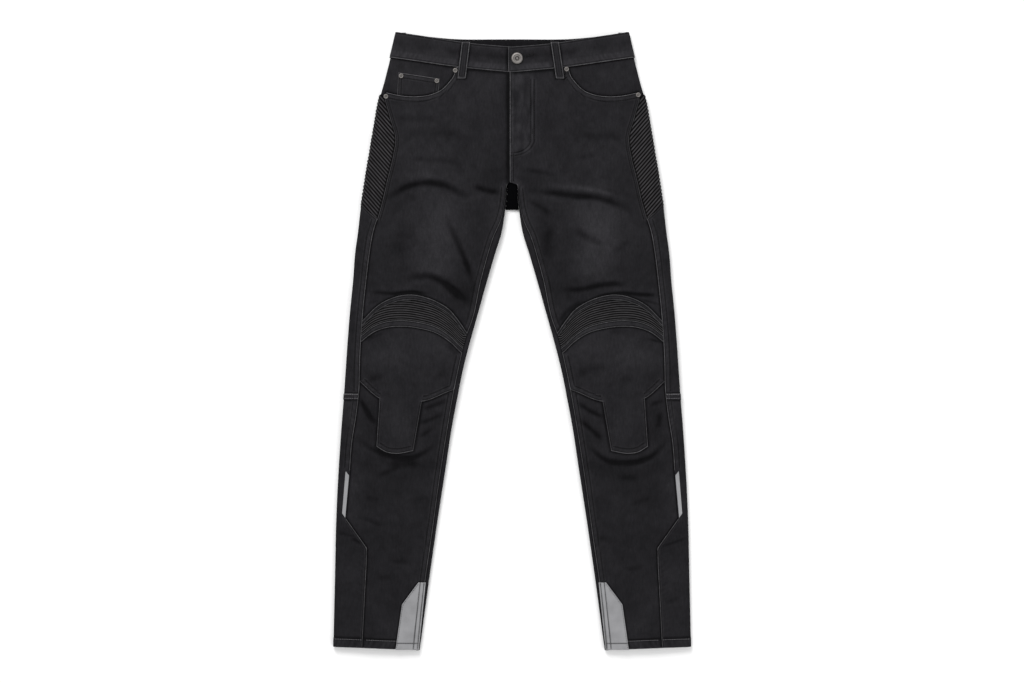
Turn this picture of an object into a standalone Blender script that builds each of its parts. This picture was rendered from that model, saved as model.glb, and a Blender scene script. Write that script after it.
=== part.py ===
"""Motorcycle trousers laid flat on their back, zip side up, built from the pieces a maker sews.

The garment lies in the XY plane, +Z up, the waist towards +Y and the hems towards -Y.
"_r" is the wearer's right leg, which lies on the -X side, and "_l" the left leg.
The origin is on the floor under the middle of the whole garment.
Lengths in this file are millimetres, turned into metres where a mesh is written.

Each leg is a flattened tube of cloth. Its front is a low plateau, its back lies on the floor,
and between them the cloth turns over a half-ellipse, the fold. A point of a panel is (p, y):
p is the distance from the centre line across the plateau and on over the fold.
"""

import math
from collections import namedtuple

import bpy
import numpy as np

MM = 0.001
COLLECTION = "motorcycle_trousers"
SIDES = {"r": -1.0, "l": 1.0}

CLOTH = 1.8  # wall of a denim panel
SEAM_GAP = 0.32  # between two pieces that meet at a seam
FOLD_WIDTH = 7.0  # how far a side fold reaches in from the outline
BACK_LIP = 10.0  # a side piece ends this far round the back
CROWN = 2.2  # the front stands this much higher in the middle of a leg
CROWN_REACH = 60.0
NOTCH_Y = 257.0  # below this the legs part, and each has an inner fold
NOTCH_TOP = 267.0  # top of the opening between the two fronts

Section = namedtuple("Section", "y outer inner height")
SECTIONS = (
    Section(519.0, 196.5, 5.6, 13.5),
    Section(472.0, 207.5, 5.6, 15.0),
    Section(438.5, 216.0, 5.6, 16.0),
    Section(405.0, 225.0, 5.6, 16.5),
    Section(371.0, 231.0, 5.6, 17.0),
    Section(321.0, 239.5, 5.6, 17.0),
    Section(270.0, 248.0, 7.4, 16.5),
    Section(220.0, 255.5, 11.8, 16.0),
    Section(178.0, 260.5, 19.0, 15.5),
    Section(153.0, 264.0, 27.0, 15.0),
    Section(102.0, 268.0, 42.0, 15.0),
    Section(52.0, 273.0, 56.0, 15.5),
    Section(2.0, 277.0, 70.0, 16.0),
    Section(-49.0, 280.5, 83.0, 15.5),
    Section(-99.0, 284.0, 93.0, 14.5),
    Section(-150.0, 288.0, 102.5, 13.0),
    Section(-200.0, 291.5, 110.0, 12.0),
    Section(-301.0, 296.5, 125.5, 10.8),
    Section(-402.0, 299.0, 140.0, 10.0),
    Section(-522.0, 301.5, 156.0, 9.6),
)

Point = namedtuple("Point", "x y")
WAIST_TOP_FRONT = (Point(0, 494.5), Point(76, 501.5), Point(130, 510), Point(197, 520.5))
WAIST_TOP_BACK = (Point(0, 509.0), Point(105, 510.0), Point(150, 514.5), Point(197, 520.5))
WAIST_SEAM = (Point(0, 451.5), Point(77, 458.8), Point(204, 477))
HEM = (Point(150, -520.6), Point(302, -514.5))
POCKET_MOUTH = (
    Point(93, 463), Point(97, 449), Point(106, 435), Point(119, 422),
    Point(134, 415), Point(156, 411), Point(184, 412), Point(211, 417.5),
)
# The front's outer edge: hip ribs, then the side seam, then the angled ankle seam.
RIB_EDGE = (
    Point(214, 406), Point(205, 374), Point(196, 340), Point(200, 311),
    Point(210, 270), Point(219, 231), Point(226.5, 205),
)
SIDE_SEAM = (
    Point(226.5, 205), Point(231.5, 190), Point(240, 145), Point(244.5, 108), Point(251.5, 38.5),
    Point(255.5, -26), Point(257.5, -87), Point(262, -124), Point(269.5, -172), Point(273.5, -225),
)
ANKLE_SEAM = (Point(273.5, -225), Point(280, -298), Point(244.3, -348), Point(245.1, -378), Point(252.5, -520))
INSEAM = (
    Point(9.5, 265), Point(14.5, 221), Point(20, 200), Point(30, 178), Point(42, 140), Point(52, 103),
    Point(67, 35), Point(77, 8), Point(87.5, -35), Point(97, -80), Point(110, -155), Point(121, -225),
    Point(135.6, -331), Point(146, -402), Point(161, -522),
)
KNEE_UPPER = (
    Point(66, 6), Point(77, 16), Point(86, 29), Point(103, 50.5), Point(125, 65.5), Point(145, 73.5),
    Point(170, 78), Point(200, 73), Point(226, 59.5), Point(252, 34),
)
KNEE_LOWER = (
    Point(70, -20), Point(88, -7), Point(101, 6), Point(125, 22.5), Point(155, 31.5), Point(187, 35),
    Point(215, 32), Point(234, 24.5), Point(254, 9),
)
KNEE_END = (
    Point(90, -80), Point(98.5, -82), Point(150, -101), Point(187, -99), Point(223, -96), Point(257, -67),
)
KNEE_BAND_UPPER = 8.5
KNEE_BAND_LOWER = 10.5
TONGUE_END = (Point(166.5, -184.5), Point(195, -189), Point(212, -186.5), Point(228, -177))
ANKLE_REFLECTOR_EDGE = (Point(158, -406), Point(185.5, -443), Point(196.5, -520))
ANKLE_REFLECTOR_INSEAM = (Point(145.5, -406), Point(157.5, -520))
STRIP_INNER = (Point(274.3, -225.5), Point(280.8, -297.5))
STRIP_OUTER = (Point(280.3, -217.5), Point(286.2, -290.0))
TONGUE_TOP = (Point(152, -104.5), Point(222.5, -99.5))
COIN_TOP = (Point(121.5, 440.5), Point(191.5, 451.4))
COIN_FOOT_X = (124.5, 193.0)
LOOPS = {"r": (Point(77.5, 502.5), Point(85.0, 441.0)), "l": (Point(71.5, 502.5), Point(80.5, 441.0))}
BUTTON = ("l", 8.2, 474.8)
FLY_SEAM = 4.0  # the fronts meet this far to the wearer's right of the centre
LAP_EDGE = 6.5  # and the waistband's ends this far
FACING_DEPTH = 0.7  # the pocket facing lies this much below the front
BAND_RISE = 0.6
TURN_ROOM = 0.4  # more room where two pieces meet on a curve
LOOP_WIDTH = 13.4
BAND_WALL = 2.4  # the waistband is two layers of denim
BAND_LIFT = 0.5
LOOP_WALL = 1.6
PATCH_WALL = 1.0  # coin pocket and reflectors
TONGUE_WALL = 1.2
FACING_WALL = 1.2
GUSSET_WALL = 1.5
# Path of the gusset from under the fronts, down to the fork and back along the floor, as (y, z).
GUSSET_PATH = (
    (274, 14.3), (262, 13.7), (246, 10.0), (232, 6.3), (225, 4.5), (221.8, 3.4), (221, 2.1),
    (222, 0.7), (225, 0.0), (240, 0.0), (256.6, 0.0),
)

# Where the meshes of neighbours take their rows, so that both follow the same straight lines.
MOUTH_X = (93, 97, 103, 113, 130, 155, 184, 211)
INSEAM_ROWS = (256, 238, 220, 202, 184, 166, 148, 130, 112, 92, 72, 52, 33)
STRIP_ROWS = (205, 197, 189, 172, 150, 124, 96, 66, 36, 10, -20, -54, -88)
BACK_ROWS = (14, -6, -26, -48, -80, -115, -155, -225, -290, -331, -402, -460, -519)
TONGUE_X = (166.5, 180, 195, 208, 219, 228)
ANKLE_ROWS = (-406, -424, -443, -468, -494, -519.8)
SIDE_ROWS = (-88, -104, -124, -148, -172, -198, -225, -261.5, -298, -323, -348, -363, -378, -425, -470, -516)
RIB_EDGE_STATIONS = 13
KNEE_COLUMNS = 12
BACK_COLUMNS = 4
FOLD_STEPS = 4
WRAP_COLUMNS = FOLD_STEPS + 4

HIP_RIBS = 30
HIP_RIB_SLOPE = 0.8  # the ribs rise this much towards the side
HIP_RIB_HEIGHT = 0.9
KNEE_RIBS = 9
KNEE_RIB_HEIGHT = 1.0

BUTTON_PROFILE = (
    (0, 0), (8.6, 0), (9.9, 0.9), (9.7, 1.8), (8.4, 2.7), (6.6, 2.9), (6.0, 2.2), (4.0, 2.2),
    (3.4, 2.9), (2.0, 2.9), (1.5, 2.0), (0, 2.0),
)
RIVET_PROFILE = ((0, 0), (4.0, 0), (4.0, 0.6), (3.3, 1.2), (2.2, 1.1), (1.8, 0.7), (1.0, 1.3), (0, 1.3))
# Side, x, y and how far the cloth under the rivet stands out of the front.
RIVETS = (
    ("r", 95.6, 454.5, 0.0), ("l", 91.4, 456.5, 0.0), ("r", 212.0, 411.0, 0.0), ("l", 211.7, 413.5, 0.0),
    ("r", 186.5, 445.5, 0.6), ("r", 126.5, 437.0, 0.6),
)

# A crease is a soft trough (negative depth) or ridge between two points of the wearer's leg.
Crease = namedtuple("Crease", "x0 y0 x1 y1 depth width")
CREASES = {
    "r": (
        Crease(24, 255, 62, 250, -1.6, 9),
        Crease(76, 243, 130, 262, -1.2, 11),
        Crease(130, 262, 200, 244, -1.0, 12),
        Crease(70, 226, 150, 240, 1.0, 13),
        Crease(126, 106, 84, 74, -1.4, 9),
        Crease(238, 84, 150, 90, -1.1, 10),
        Crease(96, -128, 150, -152, -1.1, 9),
        Crease(104, -176, 160, -206, -1.2, 11),
        Crease(256, -128, 238, -200, -1.0, 9),
    ),
    "l": (
        Crease(20, 258, 60, 252, -1.6, 9),
        Crease(60, 250, 128, 250, -1.2, 11),
        Crease(128, 250, 196, 230, -1.0, 12),
        Crease(64, 226, 140, 232, 1.0, 13),
        Crease(88, 100, 190, 98, -1.3, 10),
        Crease(140, 80, 246, 84, -1.1, 10),
        Crease(104, -120, 156, -156, -1.1, 9),
        Crease(112, -184, 166, -212, -1.2, 11),
        Crease(258, -132, 242, -206, -1.0, 9),
    ),
}

Finish = namedtuple("Finish", "colour roughness metallic")
DENIM = Finish((0.018, 0.018, 0.020, 1), 0.85, 0.0)
STRETCH = Finish((0.012, 0.012, 0.013, 1), 0.8, 0.0)
REFLECTIVE = Finish((0.33, 0.33, 0.34, 1), 0.45, 0.3)
GUNMETAL = Finish((0.16, 0.15, 0.14, 1), 0.35, 1.0)


def clear_scene():
    for old in list(bpy.data.objects):
        bpy.data.objects.remove(old, do_unlink=True)


def smoothstep(t):
    t = np.clip(t, 0, 1)
    return t * t * (3 - 2 * t)


def through(t, stations, values):
    """A smooth curve through the values at their stations: cubic Hermite, slopes from neighbours."""
    stations = np.asarray(stations, float)
    values = np.asarray(values, float)
    slopes = np.gradient(values, stations)
    i = np.clip(np.searchsorted(stations, t) - 1, 0, len(stations) - 2)
    span = stations[i + 1] - stations[i]
    s = (np.clip(t, stations[0], stations[-1]) - stations[i]) / span
    start = (1 + 2 * s) * (1 - s) ** 2 * values[i] + s * (1 - s) ** 2 * span * slopes[i]
    end = s * s * (3 - 2 * s) * values[i + 1] - s * s * (1 - s) * span * slopes[i + 1]
    return start + end


def section(column, y):
    rows = SECTIONS[::-1]
    return through(y, [row.y for row in rows], [getattr(row, column) for row in rows])


def across(points, x):
    """Height y of a seam that runs across the garment, at x."""
    return through(x, [p.x for p in points], [p.y for p in points])


def down(points, y):
    """Distance x of a seam that runs down the garment, at y."""
    rows = points[::-1]
    return np.interp(y, [p.y for p in rows], [p.x for p in rows])


def down_smooth(points, y):
    rows = points[::-1]
    return through(y, [p.y for p in rows], [p.x for p in rows])


Fold = namedtuple("Fold", "outer inner half quarter")


def fold(y):
    """Where the two folds start at y, half their height, and the length of a quarter turn."""
    half = section("height", y) / 2
    quarter = math.pi / 2 * np.sqrt((FOLD_WIDTH**2 + half**2) / 2)
    return Fold(section("outer", y) - FOLD_WIDTH, section("inner", y) + FOLD_WIDTH, half, quarter)


def unroll(x, y):
    """The panel distance p of a point seen at x on the front."""
    at = fold(y)
    outer = np.clip((x - at.outer) / FOLD_WIDTH, 0, 1)
    inner = np.where(y <= NOTCH_Y, np.clip((at.inner - x) / FOLD_WIDTH, 0, 1), 0)
    turn = np.arcsin(outer) - np.arcsin(inner)
    flat = np.where(outer > 0, at.outer, np.where(inner > 0, at.inner, x))
    return flat + at.quarter * turn / (math.pi / 2)


def relief(side, p, y, at):
    """Crown and creases of the front: zero where a fold starts."""
    inner_room = p - at.inner + 1.5 * np.maximum(0, y - NOTCH_Y)
    outer_room = at.outer - p
    crown = CROWN * smoothstep(inner_room / CROWN_REACH) * smoothstep(outer_room / CROWN_REACH)
    wave = np.zeros_like(p)
    for c in CREASES[side]:
        along = np.array((c.x1 - c.x0, c.y1 - c.y0), float)
        length = np.hypot(*along)
        along /= length
        run = (p - c.x0) * along[0] + (y - c.y0) * along[1]
        off = (y - c.y0) * along[0] - (p - c.x0) * along[1]
        fade = np.exp(-((run - length / 2) / (0.55 * length)) ** 4)
        wave += c.depth * np.exp(-((off / c.width) ** 2)) * fade
    edge = smoothstep(inner_room / 14) * smoothstep(outer_room / 14)
    return crown + wave * edge


def form(side, p, y, out, face=1):
    """Points of the garment at (p, y), moved out of its surface by out.

    On the front (face 1) the surface is z = height + relief, and past a fold's start it follows
    the half-ellipse down to the floor. The back (face -1) is the same with z turned over.
    """
    p, y, out = np.broadcast_arrays(np.asarray(p, float), np.asarray(y, float), np.asarray(out, float))
    at = fold(y)
    over = np.maximum(p - at.outer, 0)
    under = np.where(y <= NOTCH_Y, np.maximum(at.inner - p, 0), 0)
    turn = (over + under) / at.quarter * (math.pi / 2)
    way = np.where(over > 0, 1.0, -1.0)
    start = np.where(over > 0, at.outer, np.where(under > 0, at.inner, p))
    folded = np.clip(turn, 0, math.pi)
    past = np.maximum(over + under - 2 * at.quarter, 0)
    normal_x = np.sin(folded) / FOLD_WIDTH
    normal_z = np.cos(folded) / at.half
    size = np.hypot(normal_x, normal_z)
    x = start + way * (FOLD_WIDTH * np.sin(folded) - past + out * normal_x / size)
    z = at.half + at.half * np.cos(folded) + out * normal_z / size
    if face > 0:
        z = np.maximum(z + np.where(turn == 0, relief(side, p, y, at), 0), 0)
    else:
        z = 2 * at.half - z
    return np.stack((SIDES[side] * x, y, z), -1)


def inset(grid):
    """Moves the border of a grid of (p, y) in by half a seam gap, along the mean of its normals."""
    rows, columns = grid.shape[:2]
    loop = [(0, j) for j in range(columns)] + [(i, columns - 1) for i in range(1, rows)]
    loop += [(rows - 1, j) for j in range(columns - 2, -1, -1)] + [(i, 0) for i in range(rows - 2, 0, -1)]
    loop = np.array(loop)
    border = grid[loop[:, 0], loop[:, 1]]
    edge = np.roll(border, -1, 0) - border
    normal = np.stack((-edge[:, 1], edge[:, 0]), -1) / np.linalg.norm(edge, axis=1)[:, None]
    area = np.sum(border[:, 0] * np.roll(border[:, 1], -1) - np.roll(border[:, 0], -1) * border[:, 1])
    normal *= np.sign(area)
    mean = normal + np.roll(normal, 1, 0)
    mean /= np.maximum(np.sum(mean * normal, axis=1), 0.5)[:, None]
    moved = grid.copy()
    moved[loop[:, 0], loop[:, 1]] = border + mean * SEAM_GAP / 2
    return moved


def coons(top, bottom, inner, outer):
    """Grid between four sides: the sum of both rulings less the corners' bilinear surface."""
    u = np.linspace(0, 1, len(top))[None, :, None]
    v = np.linspace(0, 1, len(inner))[:, None, None]
    ruled = (1 - v) * top[None] + v * bottom[None] + (1 - u) * inner[:, None] + u * outer[:, None]
    corners = (1 - v) * ((1 - u) * top[0] + u * top[-1]) + v * ((1 - u) * bottom[0] + u * bottom[-1])
    return ruled - corners


def crossing(across_points, run, guess):
    """Where a seam across meets a seam down, by going to and fro between the two."""
    y = guess
    for _ in range(12):
        x = float(run(y))
        y = float(across(across_points, x))
    return Point(x, y)


def side_across(points, start, end, count):
    """Samples of a seam across, from one x to another, in panel distances."""
    x = np.linspace(start, end, count)
    y = across(points, x)
    return np.stack((unroll(x, y), y), -1)


def inseam_x(y):
    return down(INSEAM, y)


def side_x(y):
    return down_smooth(SIDE_SEAM, y)


def inseam(y):
    return float(unroll(inseam_x(y), y))


def make_finish(name, finish):
    material = bpy.data.materials.new(name)
    material.use_nodes = True
    shader = material.node_tree.nodes["Principled BSDF"]
    shader.inputs["Base Color"].default_value = finish.colour
    shader.inputs["Roughness"].default_value = finish.roughness
    shader.inputs["Metallic"].default_value = finish.metallic
    material.diffuse_color = finish.colour
    return material


def add_object(name, mesh, finish):
    piece = bpy.data.objects.new(name, mesh)
    bpy.data.collections[COLLECTION].objects.link(piece)
    mesh.materials.append(make_finish(name, finish))
    return piece


def wall(name, layers, finish, turned=False):
    """A closed wall from grids of outer and inner points; grids that share points are joined.

    The rim is a quad on each edge that only one face uses. turned reverses all the faces.
    """
    index = {}
    outer_points = []
    inner_points = []
    quads = []
    for outer, inner in layers:
        rows, columns = outer.shape[:2]
        ids = np.empty((rows, columns), int)
        for i in range(rows):
            for j in range(columns):
                key = tuple(np.round(np.concatenate((outer[i, j], inner[i, j])), 4))
                if key not in index:
                    index[key] = len(index)
                    outer_points.append(outer[i, j])
                    inner_points.append(inner[i, j])
                ids[i, j] = index[key]
        for i in range(rows - 1):
            for j in range(columns - 1):
                quads.append((ids[i, j], ids[i, j + 1], ids[i + 1, j + 1], ids[i + 1, j]))
    count = len(index)
    used = {}
    for quad in quads:
        for a, b in zip(quad, quad[1:] + quad[:1]):
            used[(a, b)] = used.get((a, b), 0) + 1
    rim = [(b, a, a + count, b + count) for a, b in used if (b, a) not in used]
    faces = quads + [tuple(v + count for v in reversed(quad)) for quad in quads] + rim
    if turned:
        faces = [tuple(reversed(face)) for face in faces]
    mesh = bpy.data.meshes.new(name)
    mesh.from_pydata(np.array(outer_points + inner_points) * MM, [], faces)
    mesh.update()
    return add_object(name, mesh, finish)


def cloth_layer(side, grid, out, thickness, face):
    """Outer and inner points of a grid of (p, y). Over a raised outside the inside stays plain."""
    outer = form(side, grid[..., 0], grid[..., 1], out, face)
    inner = form(side, grid[..., 0], grid[..., 1], float(np.min(out)) - thickness, face)
    return outer, inner


def panel(name, side, grid, finish=DENIM, out=0.0, thickness=CLOTH):
    """A wall over a grid of (p, y). out lifts its outer points and may differ from point to point."""
    layer = cloth_layer(side, inset(grid), out, thickness, 1)
    return wall(f"{name}_{side}", [layer], finish, SIDES[side] > 0)


def wrap_columns(front, y, across_count=2, lip=BACK_LIP):
    """Panel distances from a seam on the front, over the outer fold, to a lip on the back."""
    at = fold(y)
    flat = [front + (at.outer - front) * (k / across_count) ** 1.6 for k in range(across_count)]
    turned = [at.outer + 2 * at.quarter * k / FOLD_STEPS for k in range(FOLD_STEPS + 1)]
    return np.array(flat + turned + [at.outer + 2 * at.quarter + lip], float)


def rib_edge(y):
    """The rib panel's edge: straight between evenly spaced stations of the smooth seam."""
    stations = np.linspace(RIB_EDGE[-1].y, RIB_EDGE[0].y, RIB_EDGE_STATIONS)
    return np.interp(y, stations, down_smooth(RIB_EDGE, stations))


def side_seam(y):
    return unroll(side_x(y), y)


def outer_edge(y):
    """The front's outer edge below the knee: side seam, then the angled ankle seam."""
    seam = side_x(y) if y > ANKLE_SEAM[0].y else down(ANKLE_SEAM, y)
    return float(unroll(seam, y))


def waist_side(side):
    """Top edge of the front from the centre to the corner of the pocket mouth, then the mouth itself."""
    seam_x = -SIDES[side] * FLY_SEAM
    waist = np.linspace(seam_x, MOUTH_X[0], 5)[:-1]
    waist = np.stack((waist, across(WAIST_SEAM, np.abs(waist))), -1)
    return np.vstack((waist, mouth_line()))


def mouth_line():
    mouth = np.stack((MOUTH_X, across(POCKET_MOUTH, np.array(MOUTH_X))), -1)
    mouth[0, 1] = across(WAIST_SEAM, MOUTH_X[0])
    return mouth


def front_thigh(side):
    """Front from the waistband and the pocket mouth down to the knee."""
    seam_x = -SIDES[side] * FLY_SEAM
    low_inner = crossing(KNEE_UPPER, inseam_x, 10)
    low_outer = crossing(KNEE_UPPER, side_x, 38)
    top = waist_side(side)
    bottom = side_across(KNEE_UPPER, low_inner.x, low_outer.x, len(top))
    centre = np.stack((np.full(6, seam_x), np.linspace(top[0, 1], NOTCH_TOP, 6)), -1)
    fork = np.array(((8.5, NOTCH_TOP - 4), (9.5, NOTCH_Y + 1)))
    leg = INSEAM_ROWS + (low_inner.y,)
    leg = np.stack(([inseam(y) for y in leg], leg), -1)
    rib_y = np.linspace(RIB_EDGE[0].y, RIB_EDGE[-1].y, RIB_EDGE_STATIONS)
    ribs = np.stack((rib_edge(rib_y), rib_y), -1)
    inner = np.vstack((centre, fork, leg))
    seam_y = np.array(STRIP_ROWS[1:8] + (low_outer.y,))
    seam = np.stack((side_seam(seam_y), seam_y), -1)
    outer = np.vstack((top[-1:], ribs, seam))
    return panel("front_thigh", side, coons(top, bottom, inner, outer))


def hip_rib_grid():
    """Rows alternate between valley and ridge, running up and out to the fold, then level."""
    rows = []
    for y in np.linspace(RIB_EDGE[0].y, RIB_EDGE[-1].y, 2 * HIP_RIBS + 1):
        x = float(rib_edge(y))
        rise = HIP_RIB_SLOPE * (float(section("outer", y)) - x)
        heights = y + rise * np.clip(np.arange(WRAP_COLUMNS) / 3, 0, 1)
        rows.append([(wrap_columns(x, v)[j], v) for j, v in enumerate(heights)])
    return np.array(rows)


def hip_rib(side):
    grid = hip_rib_grid()
    ridge = np.zeros(grid.shape[:2])
    ridge[1::2, 1:-1] = HIP_RIB_HEIGHT
    return panel("hip_rib", side, grid, STRETCH, ridge)


def pocket_facing(side):
    """The cloth behind the pocket mouth, round the side to the back."""
    ribs = hip_rib_grid()[0]
    mouth = mouth_line()
    mouth[-1] += TURN_ROOM
    bottom = np.vstack((mouth, ribs))
    bottom[0, 1] -= 1.0
    side_y = WAIST_SEAM[-1].y
    wrap = wrap_columns(185.0, side_y)
    top_x = np.linspace(MOUTH_X[0], wrap[0], len(MOUTH_X) + 1)[:-1]
    top_x = np.concatenate((top_x, wrap))
    top = np.stack((top_x, across(WAIST_SEAM, np.minimum(top_x, WAIST_SEAM[-1].x))), -1)
    inner = np.linspace(top[0], bottom[0], 4)
    y = np.linspace(side_y, ribs[-1, 1], 4)
    outer = np.stack(([wrap_columns(0, v)[-1] for v in y], y), -1)
    grid = coons(top, bottom, inner, outer)
    return panel("pocket_facing", side, grid, out=-FACING_DEPTH, thickness=FACING_WALL)


def coin_pocket(side="r"):
    """The small pocket on the facing, its foot tucked in along the mouth of the big one."""
    top = np.linspace(COIN_TOP[0], COIN_TOP[1], 6)
    low_x = np.linspace(COIN_FOOT_X[0], COIN_FOOT_X[1], 6)
    bottom = np.stack((low_x, across(POCKET_MOUTH, low_x) + 0.8), -1)
    inner = np.linspace(top[0], bottom[0], 4)
    grid = coons(top, bottom, inner, np.linspace(top[-1], bottom[-1], 4))
    return panel("coin_pocket", side, grid, out=PATCH_WALL + SEAM_GAP - FACING_DEPTH, thickness=PATCH_WALL)


def side_upper(side):
    """Side strip from the ribs to the level seam by the knee. Its first row is the ribs' last."""
    top = hip_rib_grid()[-1] - (0, 2 * TURN_ROOM)
    shift = top[:, 0] - np.array([wrap_columns(float(side_seam(v)), v)[j] for j, v in enumerate(top[:, 1])])
    rows = []
    for station in STRIP_ROWS:
        t = (STRIP_ROWS[0] - station) / (STRIP_ROWS[0] - STRIP_ROWS[-1])
        heights = top[:, 1] + (STRIP_ROWS[-1] - top[:, 1]) * t
        row = [wrap_columns(float(side_seam(v)), v)[j] for j, v in enumerate(heights)]
        rows.append(np.stack((row + shift * (1 - t), heights), -1))
    return panel("side_upper", side, np.array(rows))


def side_lower(side):
    """Side strip from the level seam to the hem."""
    rows = [[(p, y) for p in wrap_columns(outer_edge(y), y)] for y in SIDE_ROWS]
    return panel("side_lower", side, np.array(rows))


def knee_line(points, shift=0.0):
    """An arched seam from the inseam to the side seam, moved down by -shift."""
    moved = [Point(point.x, point.y + shift) for point in points]
    inner = crossing(moved, inseam_x, 0)
    outer = crossing(moved, side_x, 20)
    return side_across(moved, inner.x, outer.x, KNEE_COLUMNS)


def between(top, bottom, rows):
    """Grid between two arched seams, with its ends on the inseam and the side seam."""
    inner = np.linspace(top[0], bottom[0], rows)
    outer = np.linspace(top[-1], bottom[-1], rows)
    inner[:, 0] = [inseam(y) for y in inner[:, 1]]
    outer[:, 0] = side_seam(outer[:, 1])
    return coons(top, bottom, inner, outer)


def knee_pieces(side):
    """The arched bands, the accordion between them and the smooth knee panel."""
    upper = knee_line(KNEE_UPPER), knee_line(KNEE_UPPER, -KNEE_BAND_UPPER)
    lower = knee_line(KNEE_LOWER), knee_line(KNEE_LOWER, -KNEE_BAND_LOWER)
    panel("knee_band_upper", side, between(*upper, 2), out=BAND_RISE)
    ribs = between(upper[1], lower[0], 2 * KNEE_RIBS + 1)
    ridge = np.zeros(ribs.shape[:2])
    ridge[1::2, 1:-1] = KNEE_RIB_HEIGHT
    panel("knee_rib", side, ribs, STRETCH, ridge)
    panel("knee_band_lower", side, between(*lower, 2), out=BAND_RISE)
    panel("knee_panel", side, between(lower[1], knee_line(KNEE_END), 7))


def shin_panel(side):
    top = knee_line(KNEE_END)
    bottom = side_across(HEM, INSEAM[-1].x, ANKLE_SEAM[-1].x, len(top))
    outer_y = [top[-1, 1]] + list(SIDE_ROWS[:-1]) + [bottom[-1, 1]]
    outer = np.array([(outer_edge(y), y) for y in outer_y])
    inner_y = np.linspace(top[0, 1], bottom[0, 1], len(outer))
    inner = np.stack(([inseam(y) for y in inner_y], inner_y), -1)
    return panel("shin_panel", side, coons(top, bottom, inner, outer))


def shin_tab(side):
    """The tongue of the knee panel, laid on the shin."""
    top = np.linspace(TONGUE_TOP[0], TONGUE_TOP[1], 6)
    low_x = np.array(TONGUE_X)
    bottom = np.stack((low_x, across(TONGUE_END, low_x)), -1)
    grid = coons(top, bottom, np.linspace(top[0], bottom[0], 5), np.linspace(top[-1], bottom[-1], 5))
    return panel("shin_tab", side, grid, out=SEAM_GAP + TONGUE_WALL, thickness=TONGUE_WALL)


def reflective_strip(side):
    inner = np.linspace(STRIP_INNER[0], STRIP_INNER[1], 5)
    outer = np.linspace(STRIP_OUTER[0], STRIP_OUTER[1], 5)
    grid = np.stack((inner, outer), 1)
    return panel("reflective_strip", side, grid, REFLECTIVE, SEAM_GAP + PATCH_WALL, PATCH_WALL)


def ankle_reflector(side):
    """Light panel at the inner ankle, laid over the inseam and a little round the fold."""
    rows = []
    for y in ANKLE_ROWS:
        near = down(ANKLE_REFLECTOR_INSEAM, y)
        far = down(ANKLE_REFLECTOR_EDGE, y)
        seen = near + (far - near) * np.linspace(0, 1, 7) ** 2
        rows.append(np.stack((unroll(seen, float(y)), np.full(7, float(y))), -1))
    return panel("ankle_reflector", side, np.array(rows), REFLECTIVE, 2 * SEAM_GAP + PATCH_WALL, PATCH_WALL)


def back_edge(y):
    """Outer edge of the back, where the side pieces' lips end."""
    return float(fold(y).outer) - BACK_LIP


def back_leg(side):
    """Back of one leg and half the seat, turned up over the inner fold to the inseam.

    The seat's grid and the leg's grid share a row at the fork, up to where the inner fold starts.
    """
    start = float(fold(NOTCH_Y).inner)
    share = np.linspace(0, 1, BACK_COLUMNS)
    seat = []
    for t in np.linspace(0, 1, 6):
        top_y = across(WAIST_SEAM, back_edge(WAIST_SEAM[-1].y) * (1 - share) + start * share)
        y = top_y + (NOTCH_Y - top_y) * t
        row = [(back_edge(v) * (1 - s) + start * s, v) for s, v in zip(share, y)]
        seat.append(row + [(0.0, WAIST_SEAM[0].y * (1 - t) + NOTCH_Y * t)])
    leg = []
    for y in (NOTCH_Y,) + INSEAM_ROWS[1:] + BACK_ROWS:
        at = fold(y)
        seam = 2 * (at.inner - at.quarter) - inseam(y) + TURN_ROOM
        flat = back_edge(y) * (1 - share) + at.inner * share
        turned = at.inner + (seam - at.inner) * np.arange(1, 6) / 5
        leg.append([(float(p), y) for p in np.concatenate((flat, turned))])
    leg = np.array(leg)
    leg[-1, :, 1] = across(HEM, np.clip(leg[-1, :, 0], HEM[0].x, HEM[1].x))
    shared = leg[0, :BACK_COLUMNS].copy()
    seat = inset(np.array(seat))
    leg = inset(leg)
    shared[0, 0] -= SEAM_GAP / 2
    seat[-1, :BACK_COLUMNS] = shared
    leg[0, :BACK_COLUMNS] = shared
    layers = [cloth_layer(side, grid, 0.0, CLOTH, -1) for grid in (seat, leg)]
    return wall(f"back_leg_{side}", layers, DENIM, SIDES[side] > 0)


def waistband_front(side):
    """Waistband from the centre, over the outer fold, to a lip on the back."""
    seam_x = -SIDES[side] * LAP_EDGE
    rows = []
    for t in np.linspace(0, 1, 4):
        y = WAIST_TOP_FRONT[-1].y + (WAIST_SEAM[-1].y - WAIST_TOP_FRONT[-1].y) * t
        p = np.concatenate((np.linspace(seam_x, fold(y).outer, 9)[:-1], wrap_columns(0, y)[2:]))
        x = np.clip(np.abs(p), 0, WAIST_TOP_FRONT[-1].x)
        height = across(WAIST_TOP_FRONT, x) * (1 - t) + across(WAIST_SEAM, np.clip(np.abs(p), 0, 204)) * t
        rows.append(np.stack((p, height), -1))
    return panel("waistband_front", side, np.array(rows), out=BAND_LIFT, thickness=BAND_WALL)


def waistband_back():
    """Waistband of the seat, in one piece; its inside shows above the front."""
    rows = []
    for t in np.linspace(0, 1, 3):
        y = WAIST_TOP_BACK[-1].y + (WAIST_SEAM[-1].y - WAIST_TOP_BACK[-1].y) * t
        x = np.linspace(0, back_edge(y), 8)
        rows.append(np.stack((x, across(WAIST_TOP_BACK, x) * (1 - t) + across(WAIST_SEAM, x) * t), -1))
    grid = np.array(rows)
    half = inset(grid)
    half[:, 0, 0] = 0.0
    left = cloth_layer("l", half, 0.0, BAND_WALL, -1)
    right = [points[:, ::-1] for points in cloth_layer("r", half, 0.0, BAND_WALL, -1)]
    return wall("waistband_back", [left, right], DENIM, False)


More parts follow.
